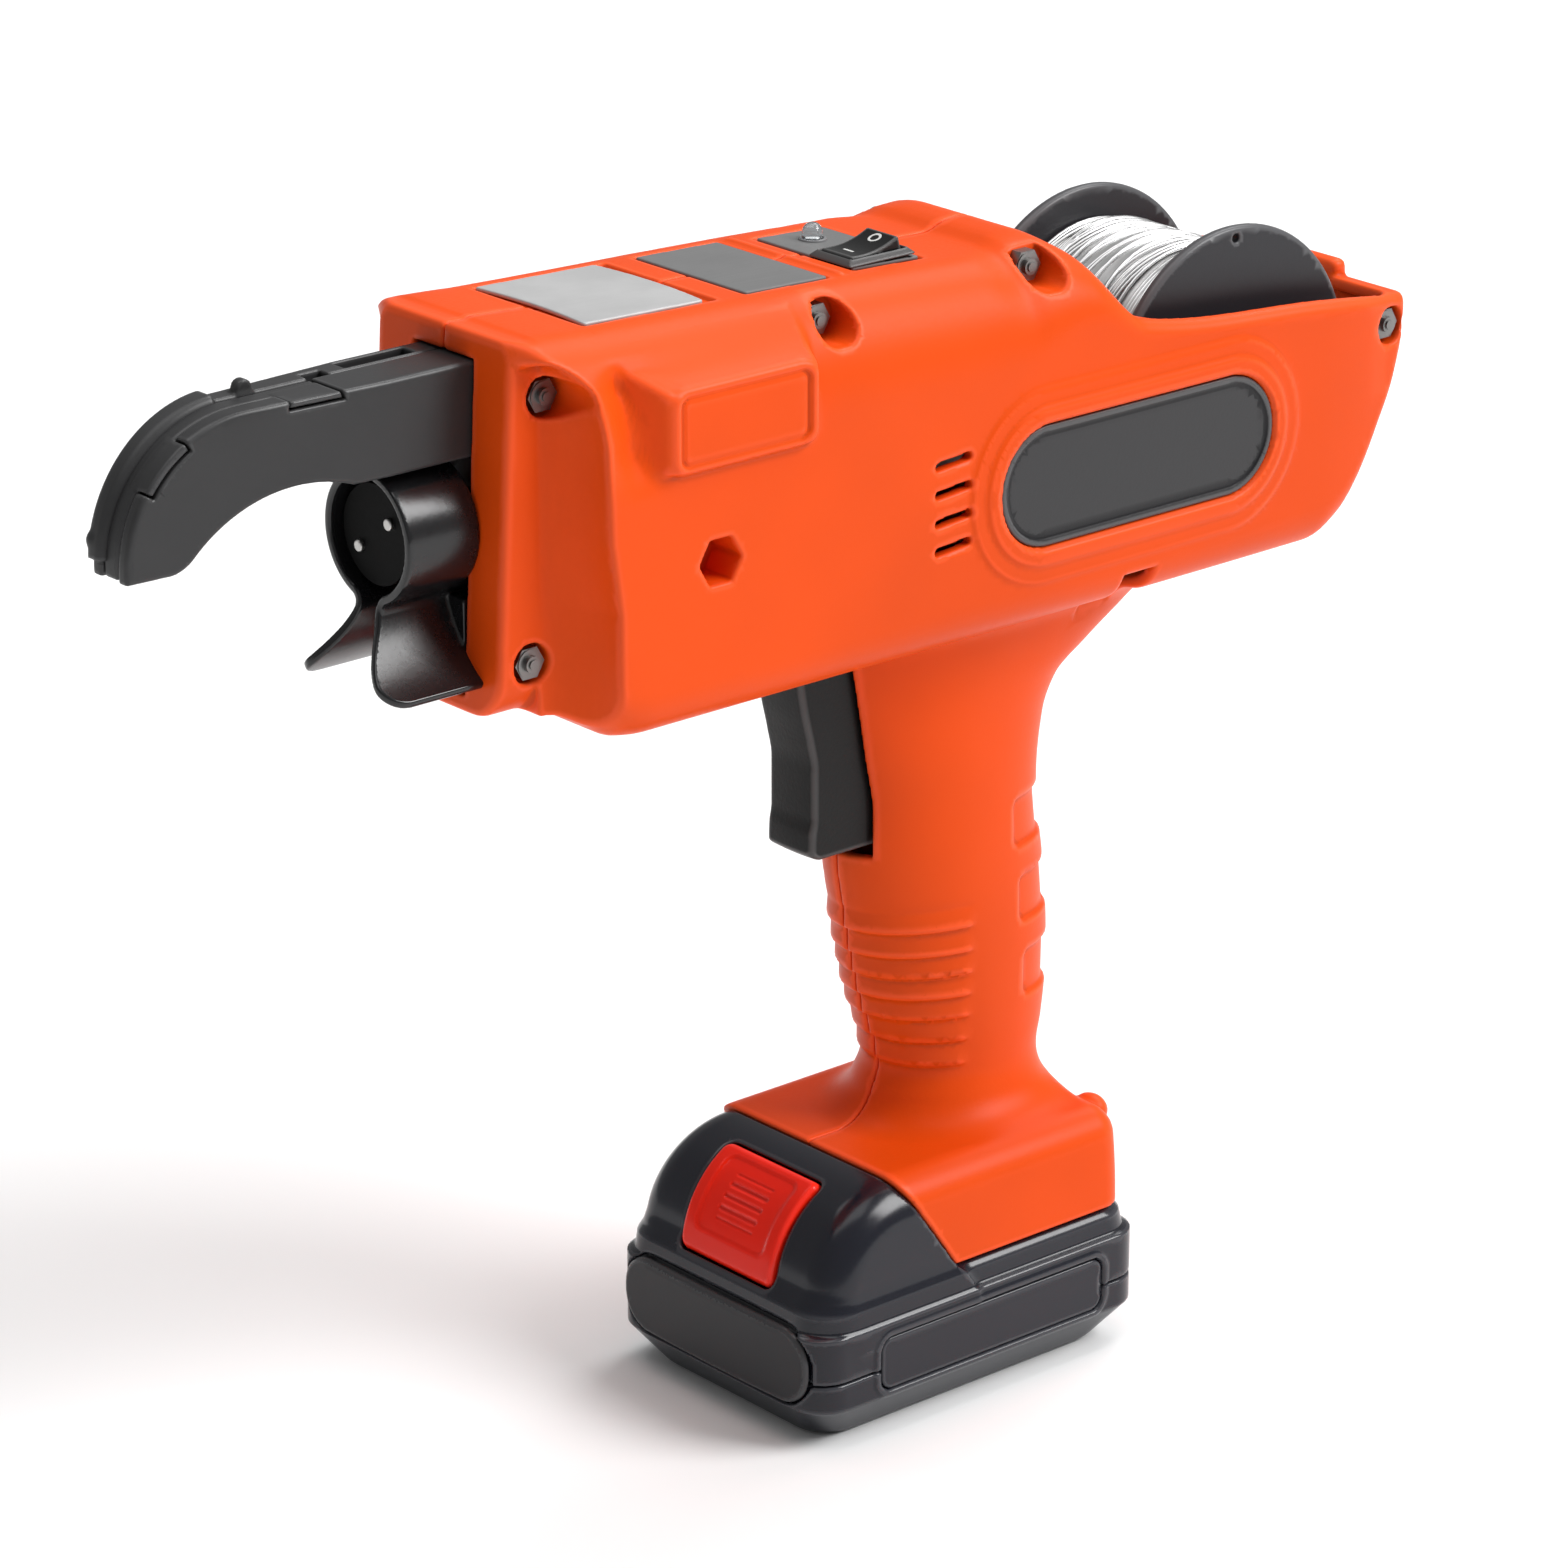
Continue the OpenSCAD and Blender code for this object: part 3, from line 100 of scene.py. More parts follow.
def rounded_box(u, v, half_u, half_v, r):
    """Rounded rectangle about the origin"""
    a = np.abs(u) - half_u + r
    b = np.abs(v) - half_v + r
    return np.hypot(np.maximum(a, 0), np.maximum(b, 0)) + np.minimum(np.maximum(a, b), 0) - r


def oval(u, v, ru, rv):
    """Ellipse about the origin, close to a true distance near its edge"""
    k = np.hypot(u / ru, v / rv)
    return k * (k - 1) / np.maximum(np.hypot(u / ru**2, v / rv**2), 1e-4)


def step_up(v, at, width):
    """0 well before a place, 1 well past it, smooth over a width"""
    t = np.clip((v - at) / width + 0.5, 0, 1)
    return t * t * (3 - 2 * t)


def along_rows(rows, at):
    """Sizes of a moulding between its stations: a smooth run without overshoot"""
    rows = np.array(rows, float)
    x, y = rows[:, :1], rows[:, 1:]
    h = np.diff(x, axis=0)
    s = np.diff(y, axis=0) / h
    m = np.zeros_like(y)
    w1, w2 = 2 * h[1:] + h[:-1], h[1:] + 2 * h[:-1]
    turn = s[:-1] * s[1:] > 0
    safe = [np.where(turn, v, 1) for v in (s[:-1], s[1:])]
    m[1:-1] = np.where(turn, (w1 + w2) / (w1 / safe[0] + w2 / safe[1]), 0)
    m[0], m[-1] = s[0], s[-1]
    i = np.clip(np.searchsorted(x[:, 0], at.ravel()) - 1, 0, len(rows) - 2)
    g = h[i]
    t = np.clip((at.ravel()[:, None] - x[i]) / g, 0, 1)
    out = (y[i] * (1 + 2 * t) * (1 - t) ** 2 + g * m[i] * t * (1 - t) ** 2
           + y[i + 1] * t**2 * (3 - 2 * t) + g * m[i + 1] * t**2 * (t - 1))
    return [size.reshape(at.shape) for size in out.T.astype(np.float32)]


class Moulding:
    """A solid on a millimetre grid: forms are added and cut, then the surface is skinned"""

    def __init__(self, low, high, step):
        self.low = np.array(low, float)
        self.step = step
        self.axes = [np.arange(a, b + step, step, dtype=np.float32) for a, b in zip(low, high)]
        self.d = np.full([len(a) for a in self.axes], 20, np.float32)

    def part(self, reach):
        """Slices and coordinates of one box of the grid, or of all of it"""
        box = (slice(None),) * 3
        if reach:
            box = tuple(slice(max(int((a - o) / self.step), 0), int((b - o) / self.step) + 2)
                        for a, b, o in zip(*reach, self.low))
        axes = [a[c] for a, c in zip(self.axes, box)]
        return box, np.meshgrid(*axes, indexing="ij", sparse=True)

    def add(self, form, r=0, reach=None):
        box, xyz = self.part(reach)
        self.d[box] = soft_or(self.d[box], form(*xyz), r)

    def cut(self, form, r=0, reach=None):
        box, xyz = self.part(reach)
        self.d[box] = soft_and(self.d[box], -form(*xyz), r)

    def raise_by(self, height, reach):
        box, xyz = self.part(reach)
        self.d[box] -= height(*xyz)

    def at(self, points):
        p = np.clip((points - self.low) / self.step, 0, np.array(self.d.shape) - 1.001)
        i = p.astype(int)
        f = p - i
        total = 0
        for corner in np.ndindex(2, 2, 2):
            weight = np.prod(np.where(corner, f, 1 - f), axis=1)
            total = total + weight * self.d[tuple((i + corner).T)]
        return total

    def skin(self, name, thin, mirror):
        """Plain mesh of the surface in metres, with the field's own normals and edge sharpness"""
        grid = openvdb.FloatGrid(20.0)
        grid.copyFromArray(self.d)
        points, tris, quads = grid.convertToPolygons(0.0, thin)
        points = points * self.step + self.low
        reach = self.step * np.eye(3)
        normals = np.stack([self.at(points + e) - self.at(points - e) for e in reach], axis=1)
        normals /= np.maximum(np.linalg.norm(normals, axis=1), 1e-6)[:, None]
        wide = 2.2 * reach
        edge = sum(self.at(points + e) + self.at(points - e) for e in wide) - 6 * self.at(points)
        edge = np.clip(edge / (2.2 * self.step), -1, 1)
        first = quads[: min(len(quads), 500)]
        side = np.cross(points[first[:, 1]] - points[first[:, 0]], points[first[:, 2]] - points[first[:, 0]])
        turned = (side * normals[first[:, 0]]).sum() < 0
        if mirror:
            points = points * [1, -1, 1]
            normals = normals * [1, -1, 1]
        faces = [f[::-1] if turned != mirror else f for f in tris.tolist() + quads.tolist()]
        mesh = bpy.data.meshes.new(name)
        mesh.from_pydata((points * 0.001).tolist(), [], faces)
        mesh.shade_smooth()
        mesh.normals_split_custom_set_from_vertices(normals.tolist())
        mesh.attributes.new("edge", "FLOAT", "POINT").data.foreach_set("value", edge.astype(np.float32))
        return mesh

    def place(self, name, thin, material, body, slot, *nodes, mirror=False):
        place(name, self.skin(name, thin, mirror), material, body, slot, *nodes)


def place(name, mesh, material, body, slot, *nodes):
    """Puts a finished piece in the scene, on its body, for the nodes that it stands for"""
    piece = bpy.data.objects.new(name, mesh)
    bpy.context.scene.collection.objects.link(piece)
    if material:
        mesh.materials.clear()
        mesh.materials.append(material)
    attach(piece, body)
    if nodes:
        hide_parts(*nodes)
    return piece


class Value:
    """A shader socket with arithmetic: an expression on values adds the Math nodes it needs"""

    def __init__(self, tree, socket):
        self.tree = tree
        self.socket = socket

    def node(self, kind, inputs, out=0, **settings):
        made = self.tree.nodes.new(kind)
        for key, value in settings.items():
            setattr(made, key, value)
        for key, value in inputs.items():
            if isinstance(value, Value):
                self.tree.links.new(value.socket, made.inputs[key])
            else:
                made.inputs[key].default_value = value
        return Value(self.tree, made.outputs[out])

    def maths(self, operation, a, b):
        return self.node("ShaderNodeMath", {0: a, 1: b}, operation=operation)

    def __add__(self, other):
        return self.maths("ADD", self, other)

    def __sub__(self, other):
        return self.maths("SUBTRACT", self, other)

    def __rsub__(self, other):
        return self.maths("SUBTRACT", other, self)

    def __mul__(self, other):
        return self.maths("MULTIPLY", self, other)

    __radd__ = __add__
    __rmul__ = __mul__

    def clear(self, low, high):
        """0 below low, 1 above high, smooth between"""
        return self.node("ShaderNodeMapRange", {"Value": self, "From Min": low, "From Max": high},
                         interpolation_type="SMOOTHSTEP")

    def noise(self, scale, detail=3.0, rough=0.5, twist=0.0):
        return self.node("ShaderNodeTexNoise", {"Vector": self, "Scale": scale, "Detail": detail,
                                                "Roughness": rough, "Distortion": twist})

    def edge(self):
        """Sharpness of the surface that its mesh carries: over 0 on an edge, under 0 in a corner"""
        return self.node("ShaderNodeAttribute", {}, out=2, attribute_name="edge")

    def blend(self, a, b):
        """Colour a where this value is 0, colour b where it is 1"""
        return self.node("ShaderNodeMix", {0: self, 6: a, 7: b}, out=2, data_type="RGBA")

    def bump(self, strength, distance):
        return self.node("ShaderNodeBump", {"Height": self, "Strength": strength, "Distance": distance})


def new_finish(name, **constants):
    """A material with its shader's plain numbers set; gives it, its shader and its object coordinates"""
    material = bpy.data.materials.new(name)
    material.use_nodes = True
    tree = material.node_tree
    shader = tree.nodes["Principled BSDF"]
    for socket, value in constants.items():
        shader.inputs[socket.replace("_", " ")].default_value = value
    return material, shader, Value(tree, tree.nodes.new("ShaderNodeTexCoord").outputs["Object"])


def feed(shader, **links):
    for socket, value in links.items():
        value.tree.links.new(value.socket, shader.inputs[socket.replace("_", " ")])


def tint(colour, share=1, lift=0):
    return [min(c * share + lift, 1) for c in colour] + [1]


def moulded_plastic(name, colour, rough, grain, sheen=0.22, highlight_lift=0.06):
    """Moulded plastic: fine spark eroded grain and faint flow clouds; convex edges get a painted highlight,
    lighter and a little glossier, and concave corners get painted shade, darker
    """
    material, shader, where = new_finish(name, IOR=1.5, Specular_IOR_Level=sheen)
    cloud = where.noise(18.0, 2.0)
    speck = where.noise(1400.0, 2.0, 0.6)
    edge = where.edge()
    # Painted highlight: convex edges are tinted lighter and a little whiter, and made a little less rough.
    edge_highlight = edge.clear(0.12, 0.75)
    # Painted shade: concave corners and creases are tinted darker.
    sunk = (0.0 - edge).clear(0.15, 0.9)
    toned = cloud.clear(0.3, 0.75).blend(tint(colour, 0.86), tint(colour))
    toned = edge_highlight.blend(toned, tint(colour, 1 + highlight_lift, 0.25 * highlight_lift))
    toned = sunk.blend(toned, tint(colour, 0.72))
    feed(shader, Base_Color=toned, Roughness=rough + 0.10 * speck + 0.08 * cloud - 0.06 * edge_highlight - 0.09,
         Normal=speck.bump(grain, 0.0003))
    return material


orange_nylon = moulded_plastic("orange_nylon", (0.82, 0.076, 0.004), 0.40, 0.08, 0.12)
wall = 2.5
side = 30.5
belly = 150.0
tail_x = 107.2
nose_x, nose_half, nose_lean = -100.4, 18.5, 0.0559
sweep_x, arch_z = -95.5, 219.4
foot_low, foot_top, foot_side = 28.5, 48.0, 28.5
foot_bumps = [(38.6, 17.2, 44.0, 3.0), (38.0, 4.2, 44.6, 2.6)]
# Body stations: x, half width, underside, deck, lower radius, width and height of the shoulder
body_rows = [
    (-110, side, 155.8, 223.7, 10, 14.5, 20), (-93, side, 155.4, 223.1, 10, 14.5, 20),
    (-88, side, 153.2, 222.8, 10, 14.5, 20), (-84, side, 150.7, 222.5, 9.5, 14.5, 20),
    (-78, side, belly, 222.3, 9, 14.5, 20), (-22, side, belly, 220.5, 9, 14.5, 20),
    (2, side, belly, 219.5, 9, 14.5, 19), (9, side, belly, 219.3, 9, 17, 18),
    (14, side, belly, 220.7, 9, 19, 17), (18, side, belly, 221.0, 9, 20, 16),
    (25, side, belly, 217.5, 9, 14, 12),
    (37, side, belly, 204, 9, 3, 3), (84, 30, belly, 198.55, 9, 2.4, 2.4),
    (90.06, 29.7, 152.5, 197.85, 9, 2.4, 2.4), (94.95, 29.3, 157.5, 197.28, 9, 2.4, 2.4),
    (100.08, 28.7, 166.5, 196.68, 8, 2.2, 2.2), (103.69, 28.3, 175, 196.26, 6, 2.2, 2.2),
    (106.14, 27.9, 183.5, 195.95, 5, 2, 2), (107.3, 27.5, 189.5, 195.85, 3, 2, 2),
]
# Handle stations: z, front, rear, half width, roundness of the rear and of the front
grip_rows = [
    (24, -1.5, 34.2, 15.2, 0.8, 1), (53.9, -2.1, 33.9, 15.3, 0.8, 1), (58.9, -0.9, 34.3, 14.7, 0.84, 1),
    (63.8, -1.9, 35.4, 14.9, 0.84, 1), (71.8, -4.9, 36.4, 15.3, 0.84, 1), (80.7, -7.3, 36.6, 15.5, 0.84, 1),
    (91.6, -9.7, 36, 15.5, 0.84, 1), (103.5, -11.5, 34.4, 15.5, 0.84, 1), (113.4, -11.7, 33.5, 15.3, 0.82, 1),
    (125.2, -14, 35, 15.3, 0.8, 1), (132.2, -15.4, 38.5, 15.5, 0.78, 1), (138.1, -16.8, 47, 16, 0.74, 1),
    (144.1, -18, 56, 17, 0.7, 1), (150, -18.7, 63, 18.5, 0.66, 0.9), (156, -19, 65, 19.5, 0.66, 0.9),
    (166, -19, 65, 19.5, 0.66, 0.9),
]
foot_front = [(24, -3.4), (28.5, -6), (40, -13.5), (45, -16.7), (47, -18), (52, -21), (60, -26), (170, -60)]


def rounded_corner(form, a, b, r):
    """Puts a round corner on a square form, a and b being the ways past the corner's centre"""
    return np.where((a > 0) & (b > 0), np.hypot(a, b) - r, form)


def deck_top(x):
    return along_rows(body_rows, x)[2]


def body_section(x, y, z):
    half, low, top, lower, uy, uz = along_rows(body_rows, x)
    flat = shared(y - half, low - z, z - top)
    a, b = y - half + uy, z - top + uz
    shoulder = np.maximum(oval(a, b, uy, uz), -np.minimum(uy, uz))
    flat = np.where((a > 0) & (b > 0), shoulder, flat)
    return rounded_corner(flat, y - half + lower, low + lower - z, lower)


def flank_scoop(x, y, z):
    """Hollow sweep from the narrow nose out to the body side, drawn in to an arch under the deck"""
    reach = np.interp(z, (175, 188, 205, 214, 217, arch_z), (8.7, 6.8, 6.2, 5.4, 3.6, 0.8))
    return soft_and(oval(x - sweep_x, y - side, reach, side - nose_half), z - arch_z, 1.0)


def nose_outside(x, y, z):
    """All that lies beyond the nose in front of the sweep"""
    top = 223.7 - (x + 110) * 0.035
    ledge = np.clip((z - arch_z) / 1.6 + 0.5, 0, 1) * 1.6 * np.clip(x + 100, 0, 12)
    wide = nose_half + ledge
    box = shared(y - wide, 155 - z, z - top)
    box = rounded_corner(box, y - nose_half + 10, 165 - z, 10)
    box = rounded_corner(box, y - wide + 4, z - top + 4, 4)
    return soft_and(x - sweep_x, -box, 1.0)


def grip_section(x, y, z):
    front, rear, half, e_rear, e_front = along_rows(grip_rows, z)
    mid, a = (front + rear) / 2, (rear - front) / 2
    n = 2 / np.where(x > mid, e_rear, e_front)
    u, v = np.abs(x - mid) / a, y / half + 1e-5 + 0 * x
    k = (u**n + v**n) ** (1 / n)
    slope = np.hypot((u / k) ** (n - 1) / a, (v / k) ** (n - 1) / half)
    return np.maximum((k - 1) / np.maximum(slope, 1e-4), -20)


def casing_form(half):
    """Outer form of one half, before its wall, its openings and its trim"""
    body_box = ((-112, 0, 140), (112, 40, 230))
    half.add(body_section, 0, body_box)
    half.cut(lambda x, y, z: tail_x - x, 1.2, body_box)
    half.cut(lambda x, y, z: np.minimum(nose_outside(x, y, z), flank_scoop(x, y, z)), 1.0,
             ((-112, 0, 140), (-60, 40, 230)))
    half.cut(lambda x, y, z: x - nose_x + (223.5 - z) * nose_lean, 1.3, ((-112, 0, 140), (-90, 40, 230)))
    grip = np.full_like(half.d, 20)
    box, (x, y, z) = half.part(((-40, 0, 24), (78, 40, 166)))
    grip[box] = grip_section(x, y, z)
    side_in = 0.0045 * np.maximum(z - foot_low, 0) ** 2
    foot = soft_and(rounded_box(x - 8, y + side_in, 30, foot_side, 5.5), z - foot_top, 5.5)
    grip[box] = np.maximum(soft_or(grip[box], foot, 9.0), foot_low - z)
    for bump_x, bump_y, bump_z, bump_r in foot_bumps:
        bump = np.sqrt((x - bump_x) ** 2 + ((y - bump_y) * 0.8) ** 2 + (z - bump_z) ** 2) - bump_r
        grip[box] = soft_or(grip[box], bump, 1.0)
    grip[box] = soft_and(grip[box], (along_rows(foot_front, z)[0] - x) * 0.84, 0.25)
    half.d = soft_or(half.d, grip, 5.0)


# Screw pockets: x, z and the y that the nut or head seats on
pockets = [(-97, 165.7, 15.5), (-93.4, 212.8, 15.5), (-34.8, 215.7, 18.6), (15.4, 216.2, 18.6),
           (102.7, 190.2, 24.3)]
pocket_r = 3.75
screw_hole_r = 1.75
hex_x, hex_z, hex_flat = -64.6, 180.2, 4.15
lamp_x, lamp_y, lamp_hole_r = -11.7, 6.6, 2.1
switch_hole_x, switch_hole_y = (-19.4, -5.2), (2.5, 12.5)
plate_x, plate_z, plate_half, plate_r = 35, 178, 22.75, 11.75
deck_pockets = ((-82.25, -52.75, 15.25, 0.75), (-46.25, -26.75, 15.25, 0.75), (-19.85, -3.35, 13.75, 0.85))
vent_x, vent_z, vent_pitch, vent_slant = -10.5, 187, 5.3, 0.09
vent_half_long, vent_half_high = 4.4, 0.8
cross_walls = ((-22.5, -20), (34.2, 36.7))
nose_slot = block(x=(None, -95.9), y=(None, 8.2), z=(159, 218.4))
trigger_slot = block(x=(None, 3.5), y=(None, 6.9), z=(104.5, 153.5))
rail_slot = block(y=(None, 20.4), z=(36.4, 41.4))
rail_neck = block(y=(None, 16.4), z=(20, 36.8))
rail_end_x = 35.5
brake_notch = block(x=(32.8, 40.5), y=(16.8, None), z=(None, 156))
bay_x, bay_low, bay_half_x, bay_half_y = 70.4, 178, 32.4, 27
palm_windows = ((101.4, 110.9, 20.0), (86.1, 95.3, 21.6), (70.9, 80.0, 23.0))
pad_face, pad_front, pad_rear, pad_low, pad_top = 32, -77, -43.6, 198.3, 212.5


def pocket_shape(x, z, x0, z0):
    """Round pocket, drawn out a little to the rear on the deck"""
    drawn = 0.7 if -60 < x0 < 60 else 0
    return np.hypot(np.maximum(np.abs(x - x0 - drawn) - drawn, 0), z - z0) - pocket_r


def plate_shape(x, z, grow=0):
    """Stadium of the name plate on the side, grown by a margin"""
    return np.hypot(np.maximum(np.abs(x - plate_x) - plate_half, 0), z - plate_z) - plate_r - grow


def side_pad(x, y, z):
    """Raised pad high on the side: slanted front, sloped top, square to the side below"""
    out = y - pad_face
    front = (pad_front - x) * 0.77 + out * 0.63
    top = (z - pad_top) * 0.93 + out * 0.62
    rear = (x - pad_rear) * 0.97 + out * 0.22
    low = pad_low - z + out * 0.2
    form = soft_and(soft_and(front, top, 1.0), soft_and(rear, low, 2.0), 1.5)
    return shared(soft_and(form, y - (pad_face + 0.2), 1.0), 21 - y, z - 219.5)


def side_trim(half):
    """Dish and pad, the ring moulded on the pad, and the raised rim of the name plate"""
    def dish(x, y, z):
        height = step_up(z, 199, 10) * (1 - step_up(z, 216, 6))
        return -2.6 * np.exp(-(((x + 82) / 5) ** 2)) * height * (y > 22)

    def pad_ring(x, y, z):
        inner = rounded_box(x + 60.2, z - 205.4, 14.2, 6.0, 1.6)
        groove = -0.5 * np.exp(-((inner / 0.4) ** 2))
        ring = 0.35 * step_up(inner, 0.5, 0.4) * (1 - step_up(inner, 2.1, 0.5))
        return (groove + ring) * (y > 27)

    def plate_rim(x, y, z):
        edge = plate_shape(x, z)
        inside = step_up(edge, -0.1, 0.5)
        outside = step_up(edge, 3.3, 1.1)
        rim = 1.0 * inside * (1 - outside)
        step = 0.45 * (1 - step_up(edge, 6.8, 0.9)) * outside
        well = -0.75 * (1 - inside)
        return (rim + step + well) * (y > 24)

    half.raise_by(dish, ((-98, 22, 190), (-60, 40, 220)))
    half.add(side_pad, 1.2, ((-100, 10, 185), (-25, 40, 226)))
    half.raise_by(pad_ring, ((-82, 26, 194), (-38, 40, 219)))
    half.raise_by(plate_rim, ((-18, 24, 155), (88, 40, 200)))


def grip_trim(half):
    """Finger ridges round the front of the handle and the palm windows at its back"""
    ridges = np.array([97.6, 93.2, 88.7, 83.7, 79.2, 74.8, 70.1, 65.2, 60.4])

    def finger_ridges(x, y, z):
        i = np.clip(np.searchsorted(-ridges, -z) - 1, 0, len(ridges) - 2)
        t = (ridges[i] - z) / (ridges[i] - ridges[i + 1])
        saw = np.where((z < ridges[1]) & (z > ridges[-1]), (t - 0.25) * 0.9, 0)
        return saw.astype(np.float32) * (1 - step_up(x, 9.0, 3.0))

    half.raise_by(finger_ridges, ((-24, 0, 58), (16, 20, 99)))
    for low, high, left in palm_windows:
        def palm_window(x, y, z):
            edge = rounded_box(x - left - 20, z - (low + high) / 2, 20, (high - low) / 2, 1.6)
            return -0.85 * (1 - step_up(edge, 0, 0.7))

        half.raise_by(palm_window, ((left - 3, 0, low - 3), (46, 20, high + 3)))


def hollow(half):
    """Leaves a wall inside, with bosses behind the pockets and the hexagonal hole, and two cross walls"""
    outer = half.d.copy()

    def fill(form, reach):
        box, xyz = half.part(reach)
        half.d[box] = np.minimum(half.d[box], np.maximum(form(*xyz), outer[box]))

    half.d = np.maximum(outer, -(outer + wall))
    for x0, z0, seat in pockets:
        fill(lambda x, y, z: np.maximum(pocket_shape(x, z, x0, z0) - 1.6, seat - 3 - y),
             ((x0 - 8, 0, z0 - 8), (x0 + 8, 36, z0 + 8)))
    fill(lambda x, y, z: np.maximum(np.hypot(x - hex_x, z - hex_z) - 7, 19.5 - y),
         ((-76, 0, 168), (-54, 36, 192)))
    for low, high in cross_walls:
        box, (x, y, z) = half.part(((low - 2, 0, 150), (high + 2, 34, 228)))
        half.d[box] = np.minimum(half.d[box], np.maximum(slab(x, low, high), outer[box] + 1))


def openings(half, near):
    """Everything cut through one half: the near one has the switch and the brake tab, the far one the lamp"""
    def battery_rails(x, y, z):
        return np.maximum(np.minimum(rail_slot(x, y, z), rail_neck(x, y, z)), x - rail_end_x)

    def spool_bay(x, y, z):
        return np.maximum(rounded_box(x - bay_x, y, bay_half_x, bay_half_y, 3), bay_low - z)

    def hexagon(x, y, z):
        u, v = np.abs(x - hex_x), np.abs(z - hex_z)
        return np.maximum(np.maximum(u * 0.866 + v * 0.5, v) - hex_flat, 22 - y)

    half.cut(nose_slot, 0.5, ((-112, 0, 150), (-84, 12, 222)))
    half.cut(spool_bay, 0.7, ((30, 0, 170), (110, 30, 230)))
    half.cut(trigger_slot, 0.9, ((-50, 0, 98), (12, 14, 158)))
    half.cut(battery_rails, 0.4, ((-45, 0, 24), (40, 26, 46)))
    for x0, z0, seat in pockets:
        half.cut(lambda x, y, z: np.maximum(pocket_shape(x, z, x0, z0), seat - y), 0.35,
                 ((x0 - 8, seat - 3, z0 - 8), (x0 + 8, 40, z0 + 8)))
        half.cut(bore(screw_hole_r, x=x0, z=z0), 0, ((x0 - 4, 0, z0 - 4), (x0 + 4, seat + 2, z0 + 4)))
    for i in range(4):
        def vent(x, y, z):
            up = z - vent_z + vent_pitch * i - vent_slant * (x - vent_x)
            return np.maximum(rounded_box(x - vent_x, up, vent_half_long, vent_half_high, 0.7), 24 - y)

        half.cut(vent, 0.25, ((-20, 22, 160), (0, 40, 195)))
    half.cut(hexagon, 0.35, ((-76, 20, 168), (-54, 40, 192)))
    for x0, x1, half_y, depth in deck_pockets:
        half.cut(lambda x, y, z: shared(slab(x, x0, x1), y - half_y, deck_top(x) - depth - z), 0.3,
                 ((x0 - 2, 0, 212), (x1 + 2, half_y + 2, 228)))
    if near:
        half.cut(block(x=switch_hole_x, y=switch_hole_y), 0, ((-24, 0, 205), (0, 16, 224)))
        half.cut(brake_notch, 1.0, ((24, 10, 144), (48, 40, 162)))
    else:
        half.cut(bore(lamp_hole_r, x=lamp_x, y=lamp_y), 0, ((-16, 0, 205), (-6, 12, 224)))


def rear_lug(x, y, z):
    return soft_and(rounded_box(x - 105.0, z - 195.5, 2.0, 3.8, 1.6), y - 12.6, 1.6)


def deck_bead(x, y, z):
    return 0.6 * np.exp(-(((x + 24.0) / 0.8) ** 2)) * (1 - step_up(y, 15.6, 1.0))


for name, near, node in (("left_casing", True, "left_shell"), ("right_casing", False, "right_shell")):
    half = Moulding((-112, -0.8, 24), (112, 36, 228), 0.5)
    casing_form(half)
    side_trim(half)
    grip_trim(half)
    half.add(rear_lug, 0.8, ((98, 0, 188), (112, 18, 204)))
    half.raise_by(deck_bead, ((-28, 0, 214), (-20, 20, 226)))
    hollow(half)
    openings(half, near)
    half.d = soft_and(half.d, 0.06 - half.axes[1][None, :, None], 0.45)
    half.place(name, 0.012, orange_nylon, "tool", "orange_plastic", node, mirror=near)


# Claw: three steel layers riveted side by side, blackened and oiled, that turn the wire into a loop.
# The near plate covers the root and keys into the track with stamped tabs on the top and the outer round.
# The root runs back into the nose, where the upper casing screw holds it.
def black_metal(name, colour, rough, highlight_share=0.35, sheen=0.4):
    """Blackened steel: soft satin with faint cloudy rub marks; convex edges get a painted highlight in cloudy
    patches, brighter and a little glossier, and concave corners get painted shade, darker
    """
    material, shader, where = new_finish(name, IOR=1.45, Specular_IOR_Level=sheen)
    cloud = where.noise(60.0, 4.0, 0.6)
    speck = where.noise(900.0, 3.0, 0.6)
    edge = where.edge()
    # Painted highlight: convex edges are tinted brighter in cloudy patches, and made a little less rough.
    edge_highlight = edge.clear(0.25, 0.9) * cloud.clear(0.25, 0.6)
    # Painted shade: concave corners and creases are tinted much darker.
    sunk = (0.0 - edge).clear(0.1, 0.8)
    base = cloud.clear(0.25, 0.8).blend(tint(colour, 0.85), tint(colour))
    base = (edge_highlight * highlight_share).blend(base, tint(colour, 2.6, 0.02))
    base = sunk.blend(base, tint(colour, 0.35))
    feed(shader, Base_Color=base, Roughness=rough + 0.12 * cloud + 0.06 * speck - 0.12 * edge_highlight - 0.08,
         Normal=speck.bump(0.06, 0.0003))
    return material


claw_black = black_metal("claw_black", (0.030, 0.030, 0.031), 0.42)
claw_step = 0.3
claw_x, claw_z, claw_r = -145.9, 193.5, 24.5
claw_top = claw_z + claw_r
throat_x, throat_z, throat_r = -136, 173, 30
top_tab, round_tab = (-137.6, -127.2), (119.5, 146.0)
claw_rivets = ((-120.4, 211), (-142.4, 212), (-162.4, 201.2))
claw_slot = block(x=(-119, -104.2), y=(3.3, 6.6), z=(213.5, None))
claw_notch = block(x=(-127.5, -123), y=(2, 5), z=(215.5, None))
claw_lug = bore(1.6, x=-140.3, z=218.6)
claw_nub, claw_nub_r = (-169.6, 4.6, 198), 1.7


